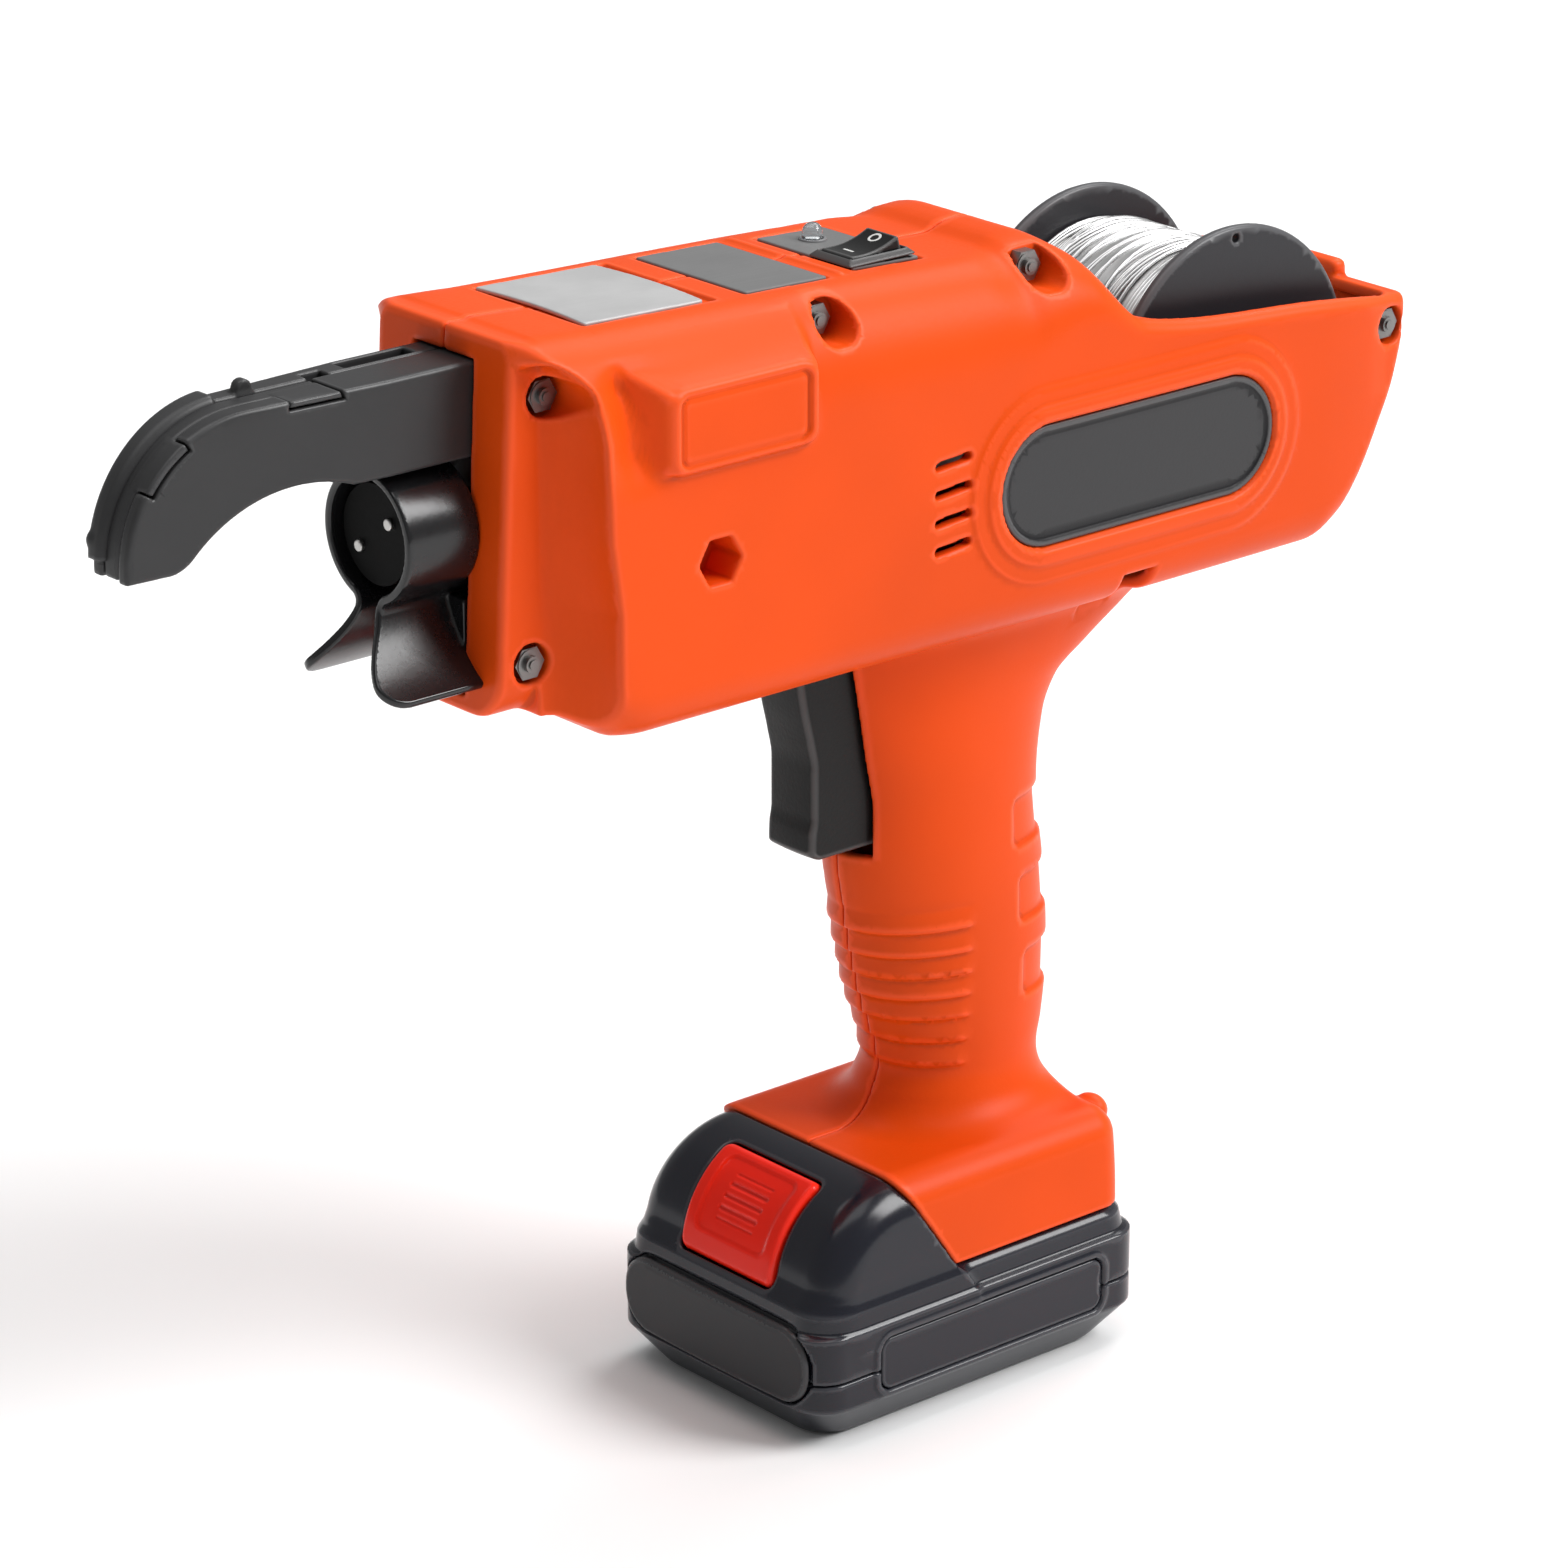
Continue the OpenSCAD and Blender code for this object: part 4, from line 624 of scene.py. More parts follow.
def claw_side(x, z):
    """Side view of the claw: flat top, round back, blunt tip, round throat"""
    back = np.hypot(x - claw_x, z - claw_z) - claw_r
    top = np.where(x > claw_x, z - claw_top, np.where(z > claw_z, back, claw_x - claw_r - x))
    tip = soft_and(192.2 - z, throat_r - np.hypot(x - throat_x, z - throat_z), 2.2)
    root = np.where(x > throat_x, 201 - z, -9)
    return np.maximum(soft_and(top, tip, 0.5), root)


def claw_half(x):
    return 8 - 3 * np.clip((-118.4 - x) / 53, 0, 1)


def claw_tabs(x, z, inset):
    """Stamped tabs along the top and the outer round, negative inside"""
    slant = (claw_top - z) * 0.3
    flat = np.maximum(slab(x, top_tab[0] + inset - slant, top_tab[1] - inset + slant), 216.3 + inset - z)
    angle = np.degrees(np.arctan2(z - claw_z, x - claw_x))
    away = np.hypot(x - claw_x, z - claw_z)
    bent = np.maximum(slab(angle, *round_tab) * 0.42 + inset, 22.5 + inset - away)
    return np.minimum(flat, bent)


def claw_plate(near):
    plate = Moulding((-173, -3.5 if near else 0.9, 188), (-81, 9.2, 222), claw_step)

    def layer(x, y, z):
        inner = 2.25 - 4.4 * step_up(x, -127.6, 0.4) * near
        return soft_and(soft_and(claw_side(x, z), y - claw_half(x), 0.9), inner - y, 0.7)

    plate.add(layer)
    if near:
        plate.cut(lambda x, y, z: claw_tabs(x, z, 0), 0.3)
        return plate
    top_box = ((-150, 0, 210), (-100, 9, 222))
    plate.cut(claw_slot, 0.3, top_box)
    plate.cut(claw_notch, 0.3, top_box)
    plate.raise_by(lambda x, y, z: (1 - step_up(x, -147, 0.8)) * (z > 195), ((-173, 0, 188), (-140, 9, 222)))
    plate.add(lambda x, y, z: soft_and(claw_lug(x, y, z), slab(y, 2.4, 4.6), 0.4), 0.8,
              ((-150, 0, 212), (-134, 9, 222)))
    plate.add(lambda x, y, z: ball(x, y, z, claw_nub, claw_nub_r), 0.5, ((-173, 0, 190), (-164, 9, 204)))
    return plate


def claw_middle():
    track = Moulding((-173, -8.6, 188), (-81, 3.2, 222), claw_step)

    def layer(x, y, z):
        drop = 1.3 * step_up(x, -127.4, 0.6)
        return soft_and(claw_side(x, z + drop) + 0.3, np.abs(y) - 2.12, 0.8)

    def tab(x, y, z):
        form = np.maximum(claw_side(x, z) + 0.25, claw_tabs(x, z, 0.35))
        return np.maximum(soft_and(form, -y - claw_half(x) + 0.3, 0.4), y)

    track.add(layer)
    track.add(tab, 0.2)
    return track


def claw_rivet_form():
    rivets = Moulding((-166, -9, 197), (-116, 9, 216), claw_step)
    for x0, z0 in claw_rivets:
        def rivet(x, y, z):
            ends = slab(y, -claw_half(x) + 0.6, claw_half(x) + 0.12)
            return soft_and(np.hypot(x - x0, z - z0) - 1.25, ends, 0.3)

        rivets.add(rivet, 0, ((x0 - 4, -9, z0 - 4), (x0 + 4, 9, z0 + 4)))
    return rivets


claw_plate(True).place("claw_near", 0.01, claw_black, "tool", "black_steel", "claw_near_plate", mirror=True)
claw_plate(False).place("claw_far", 0.01, claw_black, "tool", "black_steel", "claw_far_plate")
claw_middle().place("claw_wire_track", 0.01, claw_black, "tool", "black_steel", "claw_track")
claw_rivet_form().place("claw_rivet_set", 0.01, claw_black, "tool", "steel", "claw_rivets")


# Wire guard: one pressed steel collar round the twist head, open below, with two flared lips.
# It is dipped glossy black, and its tongue is clamped in the nose by the lower casing screw.
gloss_black = black_metal("gloss_black", (0.008, 0.008, 0.009), 0.25, 0.0, 0.55)
axis_z = 188.5
ring_r, sheet_t = 12.0, 1.6
ring_bore = ring_r - sheet_t
bend_y, bend_z, bend_r = 5.8, 175.54, 3.0
lip_y, lip_z, lip_r = 26.37, 183.35, 25.0
lip_start, lip_end = math.radians(20.8), math.radians(58.8)
guard_front, guard_rear, lip_reach = -117.8, -102.6, 6.0
tongue_half = 7.9
spread = bend_y / (axis_z - bend_z)
meet = bend_r * np.arctan2(axis_z - bend_z, bend_y)


def guard_ring(x, y, z):
    tube = soft_and(slab(np.hypot(y, z - axis_z), ring_bore, ring_r), slab(x, guard_front, guard_rear), 0.35)
    return np.maximum(tube, (axis_z - z) * spread - np.abs(y) - 0.5)


def guard_lips(x, y, z):
    """Sheet that turns out of the ring round a tight bend and runs down a wide arc to each lip"""
    out = np.abs(y)
    u, v = out - bend_y, z - bend_z
    below = u * math.sin(lip_start) - v * math.cos(lip_start) > 0
    turned = np.arctan2(lip_z - z, lip_y - out) - lip_start
    run = np.where(below, bend_r * lip_start + lip_r * turned, bend_r * np.arctan2(-v, -u))
    middle = np.where(below, np.hypot(out - lip_y, z - lip_z) - lip_r, np.hypot(u, v) - bend_r)
    front = guard_front - lip_reach * step_up(run, 6, 16) - x
    end = run - bend_r * lip_start - lip_r * (lip_end - lip_start)
    outline = np.maximum(soft_and(front, end, 5), x - np.where(out < tongue_half, -99, guard_rear - 0.5))
    return np.maximum(soft_and(np.abs(middle) - sheet_t / 2, outline, 0.45), -meet - 0.4 - run)


def guard_tongue(x, y, z):
    return soft_and(np.maximum(np.abs(y) - tongue_half, slab(x, -103.4, -94.2)), slab(z, 159.7, 176), 0.5)


guard = Moulding((-124, -16, 157), (-92, 16, 204), 0.28)
guard.add(guard_ring)
guard.add(guard_lips)
guard.add(guard_tongue, 0.4)
guard.cut(bore(ring_bore, y=0, z=axis_z))
guard.place("guard_collar", 0.01, gloss_black, "tool", "black_steel", "wire_guard")


# Twist head: hardened disc on the shaft of the twist motor, with two pins that hook and twist the wire.
# The disc is blackened; the pins are ground steel with rounded ends.
def bright_steel(name, colour, rough, scratch=500.0):
    """Ground or plated steel: metal with fine scratches and slightly duller patches; concave corners get
    painted shade, darker
    """
    material, shader, where = new_finish(name, Metallic=1.0)
    cloud = where.noise(120.0)
    line = where.noise(scratch, 4.0, twist=1.5)
    # Painted shade: concave corners and creases are tinted darker.
    sunk = (0.0 - where.edge()).clear(0.1, 0.8)
    base = cloud.clear(0.3, 0.75).blend(tint(colour, 0.82), tint(colour))
    base = sunk.blend(base, tint(colour, 0.4))
    feed(shader, Base_Color=base, Roughness=rough + 0.14 * line + 0.10 * cloud - 0.12,
         Normal=line.bump(0.05, 0.0002))
    return material


def dress(material, *nodes):
    """Gives a finish to pieces that are shown as the solids give them"""
    for node in nodes:
        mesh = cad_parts[node].data
        mesh.materials.clear()
        mesh.materials.append(material)


zinc_plate = bright_steel("zinc_plate", (0.62, 0.61, 0.59), 0.34)
pin_y, pin_drop, pin_r = 4.23, 2.9, 1.1
pins = Moulding((-119, -7, 183), (-110, 7, 194), 0.14)
for end in (-1, 1):
    def hook_pin(x, y, z):
        away = np.hypot(y - pin_y * end, z - axis_z + pin_drop * end)
        return soft_and(away - pin_r, slab(x, -116.6, -111.8), 0.25)

    pins.add(hook_pin)
pins.place("twist_pins", 0.01, zinc_plate, "twister", "steel", "twist_hooks")
dress(black_metal("head_black", (0.003, 0.003, 0.003), 0.6, 0.1, 0.1), "twist_head")


# Casing screws: five cross screws, each with a zinc plated nut in the near half and its head in the far half.
# A geometry tree sets one nut with its screw end, or one head, on each seat.
class PieceTree:
    """A geometry tree with named inputs, that ends in real geometry with its finish"""

    def __init__(self, name, **sizes):
        self.tree = bpy.data.node_groups.new(name, "GeometryNodeTree")
        sockets = {"Geometry": "Geometry", **sizes, "Finish": "Material"}
        self.tree.interface.new_socket("Geometry", in_out="OUTPUT", socket_type="NodeSocketGeometry")
        for label, kind in sockets.items():
            self.tree.interface.new_socket(label.replace("_", " "), in_out="INPUT",
                                           socket_type="NodeSocket" + kind)
        self.source = self.tree.nodes.new("NodeGroupInput").outputs

    def add(self, kind, inputs, out=0, **settings):
        node = self.tree.nodes.new(kind)
        for key, value in settings.items():
            setattr(node, key, value)
        for key, value in inputs.items():
            for item in value if isinstance(value, list) else [value]:
                if isinstance(item, bpy.types.NodeSocket):
                    self.tree.links.new(item, node.inputs[key])
                else:
                    node.inputs[key].default_value = item
        return node.outputs[out]

    def lifted(self, made, height, scale=(1, 1, 1)):
        return self.add("GeometryNodeTransform", {"Geometry": made, "Translation": (0, 0, height),
                                                  "Scale": scale})

    def drum(self, sides, radius, height, lift):
        raw = self.add("GeometryNodeMeshCylinder", {"Vertices": sides, "Radius": radius, "Depth": height})
        return self.lifted(raw, lift)

    def join(self, *parts):
        return self.add("GeometryNodeJoinGeometry", {0: list(parts)})

    def finish(self, made):
        real = self.add("GeometryNodeRealizeInstances", {0: made})
        done = self.add("GeometryNodeSetMaterial", {0: real, "Material": self.source["Finish"]})
        self.tree.links.new(done, self.tree.nodes.new("NodeGroupOutput").inputs[0])
        return self.tree


def screw_tree():
    tree = PieceTree("screw_set", Flats_radius="Float", Nut_height="Float", Screw_radius="Float",
                     Head_radius="Float", Head_side="Bool")
    source = tree.source
    nut = tree.join(tree.drum(6, source["Flats radius"], source["Nut height"], 0.0012),
                    tree.drum(32, 0.00262, 0.0027, 0.00125),
                    tree.drum(24, source["Screw radius"], 0.0036, 0.0016),
                    tree.drum(24, 0.0009, 0.0004, 0.0035))
    dome = tree.add("GeometryNodeMeshUVSphere", {"Segments": 32, "Rings": 16,
                                                 "Radius": source["Head radius"]})
    head = tree.join(tree.drum(32, source["Head radius"], 0.0016, 0.0008),
                     tree.lifted(dome, 0.0014, (1, 1, 0.38)))
    bars = [tree.add("GeometryNodeMeshCube", {"Size": size})
            for size in ((0.0030, 0.0006, 0.0012), (0.0006, 0.0030, 0.0012))]
    cross = tree.join(*(tree.lifted(bar, 0.0022) for bar in bars))
    head = tree.add("GeometryNodeMeshBoolean", {0: head, 1: cross}, operation="DIFFERENCE")
    either = tree.add("GeometryNodeSwitch", {"Switch": source["Head side"], "False": nut, "True": head})
    axis = tree.add("GeometryNodeInputNamedAttribute", {"Name": "axis"}, data_type="FLOAT_VECTOR")
    turn = tree.add("FunctionNodeAlignRotationToVector", {"Vector": axis}, axis="Z")
    return tree.finish(tree.add("GeometryNodeInstanceOnPoints", {"Points": source["Geometry"],
                                                                 "Instance": either, "Rotation": turn}))


def grown(name, tree, mesh, settings):
    """Plain mesh of what a geometry tree makes of a mesh"""
    carrier = bpy.data.objects.new(name, mesh)
    bpy.context.scene.collection.objects.link(carrier)
    modifier = carrier.modifiers.new("grow", "NODES")
    modifier.node_group = tree
    names = {item.name: item.identifier for item in tree.interface.items_tree if item.in_out == "INPUT"}
    for key, value in settings.items():
        modifier[names[key]] = value
    bpy.context.view_layer.update()
    ready = carrier.evaluated_get(bpy.context.evaluated_depsgraph_get())
    made = bpy.data.meshes.new_from_object(ready)
    made.name = name
    carrier.modifiers.remove(modifier)
    bpy.data.objects.remove(carrier)
    return made


nut_steel = bright_steel("nut_steel", (0.22, 0.215, 0.21), 0.34)
nut_half_flat = 0.00275
screw_set = screw_tree()
for toward, name, node in ((-1, "casing_nuts", "shell_nuts"), (1, "casing_screws", "shell_screws")):
    seats = bpy.data.meshes.new(name + "_seats")
    seats.from_pydata([(x * 0.001, toward * seat * 0.001, z * 0.001) for x, z, seat in pockets], [], [])
    axes = seats.attributes.new("axis", "FLOAT_VECTOR", "POINT")
    axes.data.foreach_set("vector", np.tile((0.0, toward, 0.0), len(pockets)))
    screw_sizes = {"Flats radius": nut_half_flat / math.cos(math.pi / 6), "Nut height": 0.0024,
                   "Screw radius": 0.0015, "Head radius": 0.00275, "Head side": toward > 0,
                   "Finish": nut_steel}
    place(name, grown(name, screw_set, seats, screw_sizes), None, "tool", "steel", node)


# Deck plates: a bare silver badge, a bare grey rating plate and the grey switch plate.
# Each is thin aluminium sheet stuck in a shallow pocket of the deck.
def deck_sheet(x0, x1, half_y, proud, cuts=(), bow=0.0):
    sheet = Moulding((x0 - 1, -half_y - 1, 217), (x1 + 1, half_y + 1, 224), 0.25)

    def form(x, y, z):
        top = deck_top(x) + proud
        bowed = x - (x0 + x1) / 2 + bow * (y / half_y) ** 2
        outline = rounded_box(bowed, y, (x1 - x0) / 2 - bow, half_y, 0.6)
        return soft_and(outline, slab(z, top - 0.8, top), 0.2)

    sheet.add(form)
    for cut in cuts:
        sheet.cut(cut, 0.1)
    return sheet


def printed_sheet(name, colour, rough, metal):
    """Thin painted or brushed sheet: brushing along the tool, faint dust and smears"""
    material, shader, where = new_finish(name, Metallic=metal)
    streak = where.node("ShaderNodeMapping", {"Vector": where, "Scale": (60, 2600, 60)}).noise(1.0)
    smear = where.noise(55.0, 4.0, 0.65)
    base = smear.clear(0.3, 0.75).blend(tint(colour, 0.88), tint(colour))
    feed(shader, Base_Color=base, Roughness=rough + 0.14 * streak + 0.12 * smear - 0.12,
         Normal=streak.bump(0.04, 0.0002))
    return material


silver_badge = printed_sheet("silver_badge", (0.46, 0.46, 0.46), 0.42, 0.1)
grey_label = printed_sheet("grey_label", (0.15, 0.15, 0.15), 0.55, 0.0)
badge = deck_sheet(-82, -53, 15, 0.25, bow=1.2)
badge.place("badge_sheet", 0.005, silver_badge, "tool", "badge", "badge_plate")
rating = deck_sheet(-46, -27, 15, 0.15)
rating.place("rating_sheet", 0.005, grey_label, "tool", "grey_plate", "rating_plate")
switch_cuts = (block(x=switch_hole_x, y=(-switch_hole_y[1], -switch_hole_y[0])),
               bore(lamp_hole_r, x=lamp_x, y=lamp_y))
switch_plate = deck_sheet(-19.6, -3.6, 13.0, 0.2, switch_cuts)
switch_plate.place("switch_sheet", 0.005, grey_label, "tool", "grey_plate", "switch_plate")


# Rocker switch: glossy black nylon bezel snapped through the switch plate, and its rocker on a cross pin.
# The rear half of the rocker stands up and carries a ring, the front half a bar, both pad printed white.
switch_x, switch_y, switch_z = -12.3, -7.5, 219.746
bezel_long, bezel_wide = 16, 11.6
rest_tilt = math.radians(10)
rocker_half, rocker_top, rocker_dip = 6.1, 2.45, 1.0
mark_sink = 0.03
switch_black = moulded_plastic("switch_black", (0.004, 0.004, 0.004), 0.30, 0.04, 0.2, 0.3)


def switch_box(x, y, length, width, corner):
    return rounded_box(x - switch_x, y - switch_y, length / 2, width / 2, corner)


def bezel_flange(x, y, z):
    return soft_and(switch_box(x, y, bezel_long, bezel_wide, 0.7), slab(z, 220.45, 221.95), 0.5)


def bezel_slope(x, y, z):
    inset = np.minimum(bezel_long / 2 - np.abs(x - switch_x), bezel_wide / 2 - np.abs(y - switch_y))
    return -(z - 220.55 - 0.9 * inset)


bezel = Moulding((-21.3, -14.3, 212), (-3.3, -0.7, 223), 0.2)
bezel.add(bezel_flange)
bezel.cut(bezel_slope, 0.1)
bezel.add(lambda x, y, z: np.maximum(switch_box(x, y, 13.9, 9.7, 0.4), slab(z, 213.4, 220.9)))
bezel.cut(lambda x, y, z: np.maximum(switch_box(x, y, 13.0, 8.8, 0.3), 215.4 - z), 0.25)
bezel.place("switch_bezel", 0.004, switch_black, "tool", "black_plastic", "rocker_bezel")


def tilted(x, z):
    """Rocker's own axes: along and up from its pivot, at the rest tilt"""
    c, s = math.cos(rest_tilt), math.sin(rest_tilt)
    return (x - switch_x) * c + (z - switch_z) * s, (z - switch_z) * c - (x - switch_x) * s


def rocker_form(x, y, z):
    u, v = tilted(x, z)
    top = v - rocker_top - rocker_dip * (u / rocker_half) ** 2
    under = -v - 2.6 + 2.4 * np.abs(u / rocker_half)
    ends = np.abs(u) - 6.0 + 0.12 * np.maximum(v, 0)
    return soft_and(soft_and(np.maximum(ends, under), top, 0.4), np.abs(y - switch_y) - 4.15, 0.35)


def rocker_mark(x, y, z):
    u, v = tilted(x, z)
    ring = np.abs(np.hypot(u - 3.5, y - switch_y) - 1.05) - 0.26
    bar = np.maximum(np.abs(u + 2.8) - 0.28, np.abs(y - switch_y) - 1.3)
    lift = np.abs(v - (rocker_top - mark_sink) - rocker_dip * (u / rocker_half) ** 2) - 0.07
    return np.maximum(np.minimum(ring, bar), lift)


rocker = Moulding((-20, -12.6, 215.5), (-4.6, -2.4, 226), 0.2)
rocker.add(rocker_form)
rocker.place("rocker_cap", 0.004, switch_black, "rocker", "black_plastic", "rocker")
white_print = printed_sheet("white_print", (0.72, 0.72, 0.70), 0.5, 0.0)
marks = Moulding((-17.5, -9.9, 220), (-6, -5.1, 225.5), 0.07)
marks.add(rocker_mark)
marks.place("rocker_marks", 0.02, white_print, "rocker", "black_plastic")


# Status lamp: a clear moulded lens with a domed top, pressed through the switch plate on a small grey collar.
# A blind bore from below leaves room for the light itself.
clear_lens, shader, where = new_finish("clear_lens", IOR=1.46, Transmission_Weight=0.92)
haze = where.noise(700.0, 2.0)
lens_colour = haze.blend((0.80, 0.84, 0.86, 1), (0.93, 0.95, 0.96, 1))
feed(shader, Base_Color=lens_colour, Roughness=0.04 + 0.06 * haze)
lens_z, lens_r = 221.6, 1.9
lamp_reach = ((-15, 3.4, 217), (-8.5, 9.8, 224.5))


def lens_form(x, y, z):
    away = np.hypot(x - lamp_x, y - lamp_y)
    return np.maximum(np.hypot(away, np.maximum(z - lens_z, 0)) - lens_r, 218.1 - z)


def collar_form(x, y, z):
    away = np.hypot(x - lamp_x, y - lamp_y)
    return soft_and(slab(away, 1.95, 2.6), slab(z, 219.3, 220.7), 0.3)


lens = Moulding(*lamp_reach, 0.15)
lens.add(lens_form)
lens.cut(lambda x, y, z: np.maximum(np.hypot(x - lamp_x, y - lamp_y) - 0.9, z - lens_z + 0.8), 0.2)
lens.place("lamp_lens", 0.005, clear_lens, "tool", "lamp", "status_led")
lamp_grey = moulded_plastic("lamp_grey", (0.16, 0.16, 0.165), 0.4, 0.06)
collar = Moulding(*lamp_reach, 0.15)
collar.add(collar_form)
collar.place("lamp_collar", 0.005, lamp_grey, "tool", "lamp")


# Name plates: charcoal satin plates with a thin raised edge, moulded in nylon and left bare.
# One is stuck into the stadium well on each side.
plate_satin = moulded_plastic("plate_satin", (0.008, 0.0075, 0.009), 0.36, 0.08, 0.25, 0.3)


def name_plate_form(x, y, z):
    edge = plate_shape(x, z, -0.35)
    face = 30.45 + 0.35 * step_up(edge, -1.3, 0.5)
    return soft_and(edge, np.maximum(y - face, 29.3 - y), 0.25)


plates = Moulding((-1, 27, 164), (71, 33, 192), 0.3)
plates.add(name_plate_form)
plates.place("name_plate_near", 0.004, plate_satin, "tool", "charcoal_plastic", "name_plates", mirror=True)
plates.place("name_plate_far", 0.004, plate_satin, "tool", "charcoal_plastic")


# Trigger: one piece of black glass-filled nylon on a cross pin, with a finger hollow down its front.
# It swings into the slot of the handle against its spring.
trigger_black = moulded_plastic("trigger_black", (0.006, 0.006, 0.006), 0.42, 0.16, 0.2, 0.3)
trigger_front = [(104, -20.5), (106.4, -21.6), (108.4, -23.0), (111.5, -22.9), (115, -22.4), (124.4, -22.4),
                 (130, -23.4), (136.4, -24.9), (143, -26.0), (150, -26.6)]
trigger_rear = [(104, -7.2), (106.4, -7), (127.8, -3.6), (147.2, -1.5), (150, -2.4)]
trigger_low, trigger_high, trigger_half = 106.5, 149.1, 6.4
trigger_pin_x, trigger_pin_z, trigger_pin_r = -6, 144.5, 1.6


def trigger_form(x, y, z):
    front = along_rows(trigger_front, z)[0]
    rear = along_rows(trigger_rear, z)[0]
    toe = soft_and(front - x, trigger_low - z, 1.6)
    side_view = np.maximum(toe, soft_and(x - rear, z - trigger_high, 0.6))
    hollow_y = 0.35 * (y / 6.5) ** 2
    return soft_and(side_view + hollow_y - 0.2, np.abs(y) - trigger_half, 1.1)


trigger = Moulding((-29, -8, 104), (1, 8, 151), 0.3)
trigger.add(trigger_form)
trigger.cut(bore(trigger_pin_r, x=trigger_pin_x, z=trigger_pin_z), 0.2, ((-12, -8, 138), (0, 8, 151)))
trigger.place("trigger_lever", 0.005, trigger_black, "trigger", "black_plastic", "trigger")


# Battery case: tray and cover of charcoal nylon that meet in a line round the middle, screwed from below.
# The toe is drawn in, the shoulder steps in to a ledge, and the dome in front carries the latch button.
case_charcoal = moulded_plastic("case_charcoal", (0.009, 0.010, 0.017), 0.22, 0.008, 0.40, 0.12)
case_reach = ((-44, -32.5, -1), (44, 32.5, 50))
case_step = 0.32
case_end, case_side, case_top, case_wall = 41.5, 30.0, 28.2, 2.2
toe_z, toe_in = (0, 1.5, 8, 22.8, 23.2, 26.5, case_top), (5.7, 4.6, 0, 0, 1.1, 1.6, 2.9)
dome_x, dome_z, dome_r = -18.0, 27.2, 20.0
seam_z, seam_gap = 13.5, 0.16
press_angle = math.radians(141.5)


def case_outer(x, y, z):
    """Case without its dome: sides lean in at the toe and roll over at the shoulder"""
    toe = np.interp(z, toe_z, toe_in)
    plan = rounded_box(x, y, case_end - toe, case_side - toe, 7.0)
    return soft_and(plan, slab(z, 0, case_top), 1.2)


def case_dome(x, y, z):
    turn = np.hypot(x - dome_x, z - dome_z) - dome_r
    turn = np.where(x > dome_x, z - dome_z - dome_r, turn)
    lean = 28.6 - 0.0042 * np.maximum(z - 25, 0) ** 2
    form = soft_and(turn, np.abs(y) - lean, 7.0)
    return shared(form, 20 - z, (x - along_rows(foot_front, z)[0] + 0.35) * 0.84)


def front_frame_shape(y, z):
    return rounded_box(y, z - 16, 26.4, 7.7, 7.2)


def side_frame_shape(x, z):
    return rounded_box(x - 2, z - 14.5, 28, 5.2, 2.5)


def case_frames(x, y, z):
    """Raised ring round each side plate, and the wells of the plates"""
    edge = side_frame_shape(x, z)
    ring = 0.35 * (1 - step_up(edge, 1.7, 0.5)) - 1.3 * (1 - step_up(edge, 0.28, 0.3))
    well = -1.2 * (1 - step_up(front_frame_shape(y, z), 0.2, 0.3))
    return np.where(np.abs(y) > 27, ring, 0) + np.where(x < -38.5, well, 0)


def press_axes(x, z):
    """Button's own axes: out along its press line and across it, about the dome's centre"""
    c, s = math.cos(press_angle), math.sin(press_angle)
    return (x - dome_x) * c + (z - dome_z) * s, (z - dome_z) * c - (x - dome_x) * s


def button_well(x, y, z):
    out, across = press_axes(x, z)
    return np.maximum(rounded_box(across - 1.5, y, 11.15, 13.4, 2.0), 12.3 - out)


case = Moulding(*case_reach, case_step)
case.add(case_outer)
case.add(case_dome, 3.0)
case.raise_by(case_frames, ((-44, -32.5, 2), (44, 32.5, 27)))
up = case.axes[2][None, None, :]
inside = np.maximum(case.d + case_wall, up - 21.4)
case.cut(button_well, 0.5)
shell = np.maximum(case.d, -inside)
case.d = soft_and(shell, up - seam_z + seam_gap, 0.45)
case.place("battery_base", 0.008, case_charcoal, "battery", "charcoal_plastic", "battery_tray")
rails = Moulding(*case_reach, case_step)
rails.add(block(x=(-8, 26), y=(-16, 16), z=(27, 40.8)))
rails.add(block(x=(0, 26), y=(-20, 20), z=(36.8, 40.8)))
rails.cut(block(x=(17, 28), y=(-10, 10), z=(35.8, 42)))
case.d = np.minimum(soft_and(shell, seam_z + seam_gap - up, 0.45), rails.d)
case.place("battery_top", 0.008, case_charcoal, "battery", "charcoal_plastic", "battery_cover")


# Battery plates: a black front plate that stands proud with a rolled edge, and a flat plate in each side.
# They are moulded in nylon, left bare, and stuck in their wells.
plate_black = moulded_plastic("plate_black", (0.011, 0.011, 0.014), 0.32, 0.02, 0.32, 0.15)


def front_plate_form(x, y, z):
    face = -42.35 + 0.0009 * y**2
    return soft_and(front_frame_shape(y, z), slab(x, face, -40.2), 1.1)


plate = Moulding((-44, -28, 6), (-38, 28, 26), 0.3)
plate.add(front_plate_form)
plate.place("battery_front", 0.005, plate_black, "battery", "black_plastic", "battery_front_plate")
plate = Moulding((-28, 27, 7), (32, 32, 22), 0.3)
plate.add(lambda x, y, z: soft_and(side_frame_shape(x, z), slab(y, 28.6, 30.2), 0.4))
plate.place("battery_side_near", 0.005, case_charcoal, "battery", "black_plastic", "battery_side_plates",
            mirror=True)
plate.place("battery_side_far", 0.005, case_charcoal, "battery", "black_plastic")


# Latch button: gloss red plastic that follows the dome, with a raised frame and a ribbed thumb pad.
# It slides towards the dome's centre on a spring to free the battery.
latch_red = moulded_plastic("latch_red", (0.98, 0.020, 0.005), 0.20, 0.01, 0.2, 0.05)
rib_pitch = 2.4
pad_across = 0.3


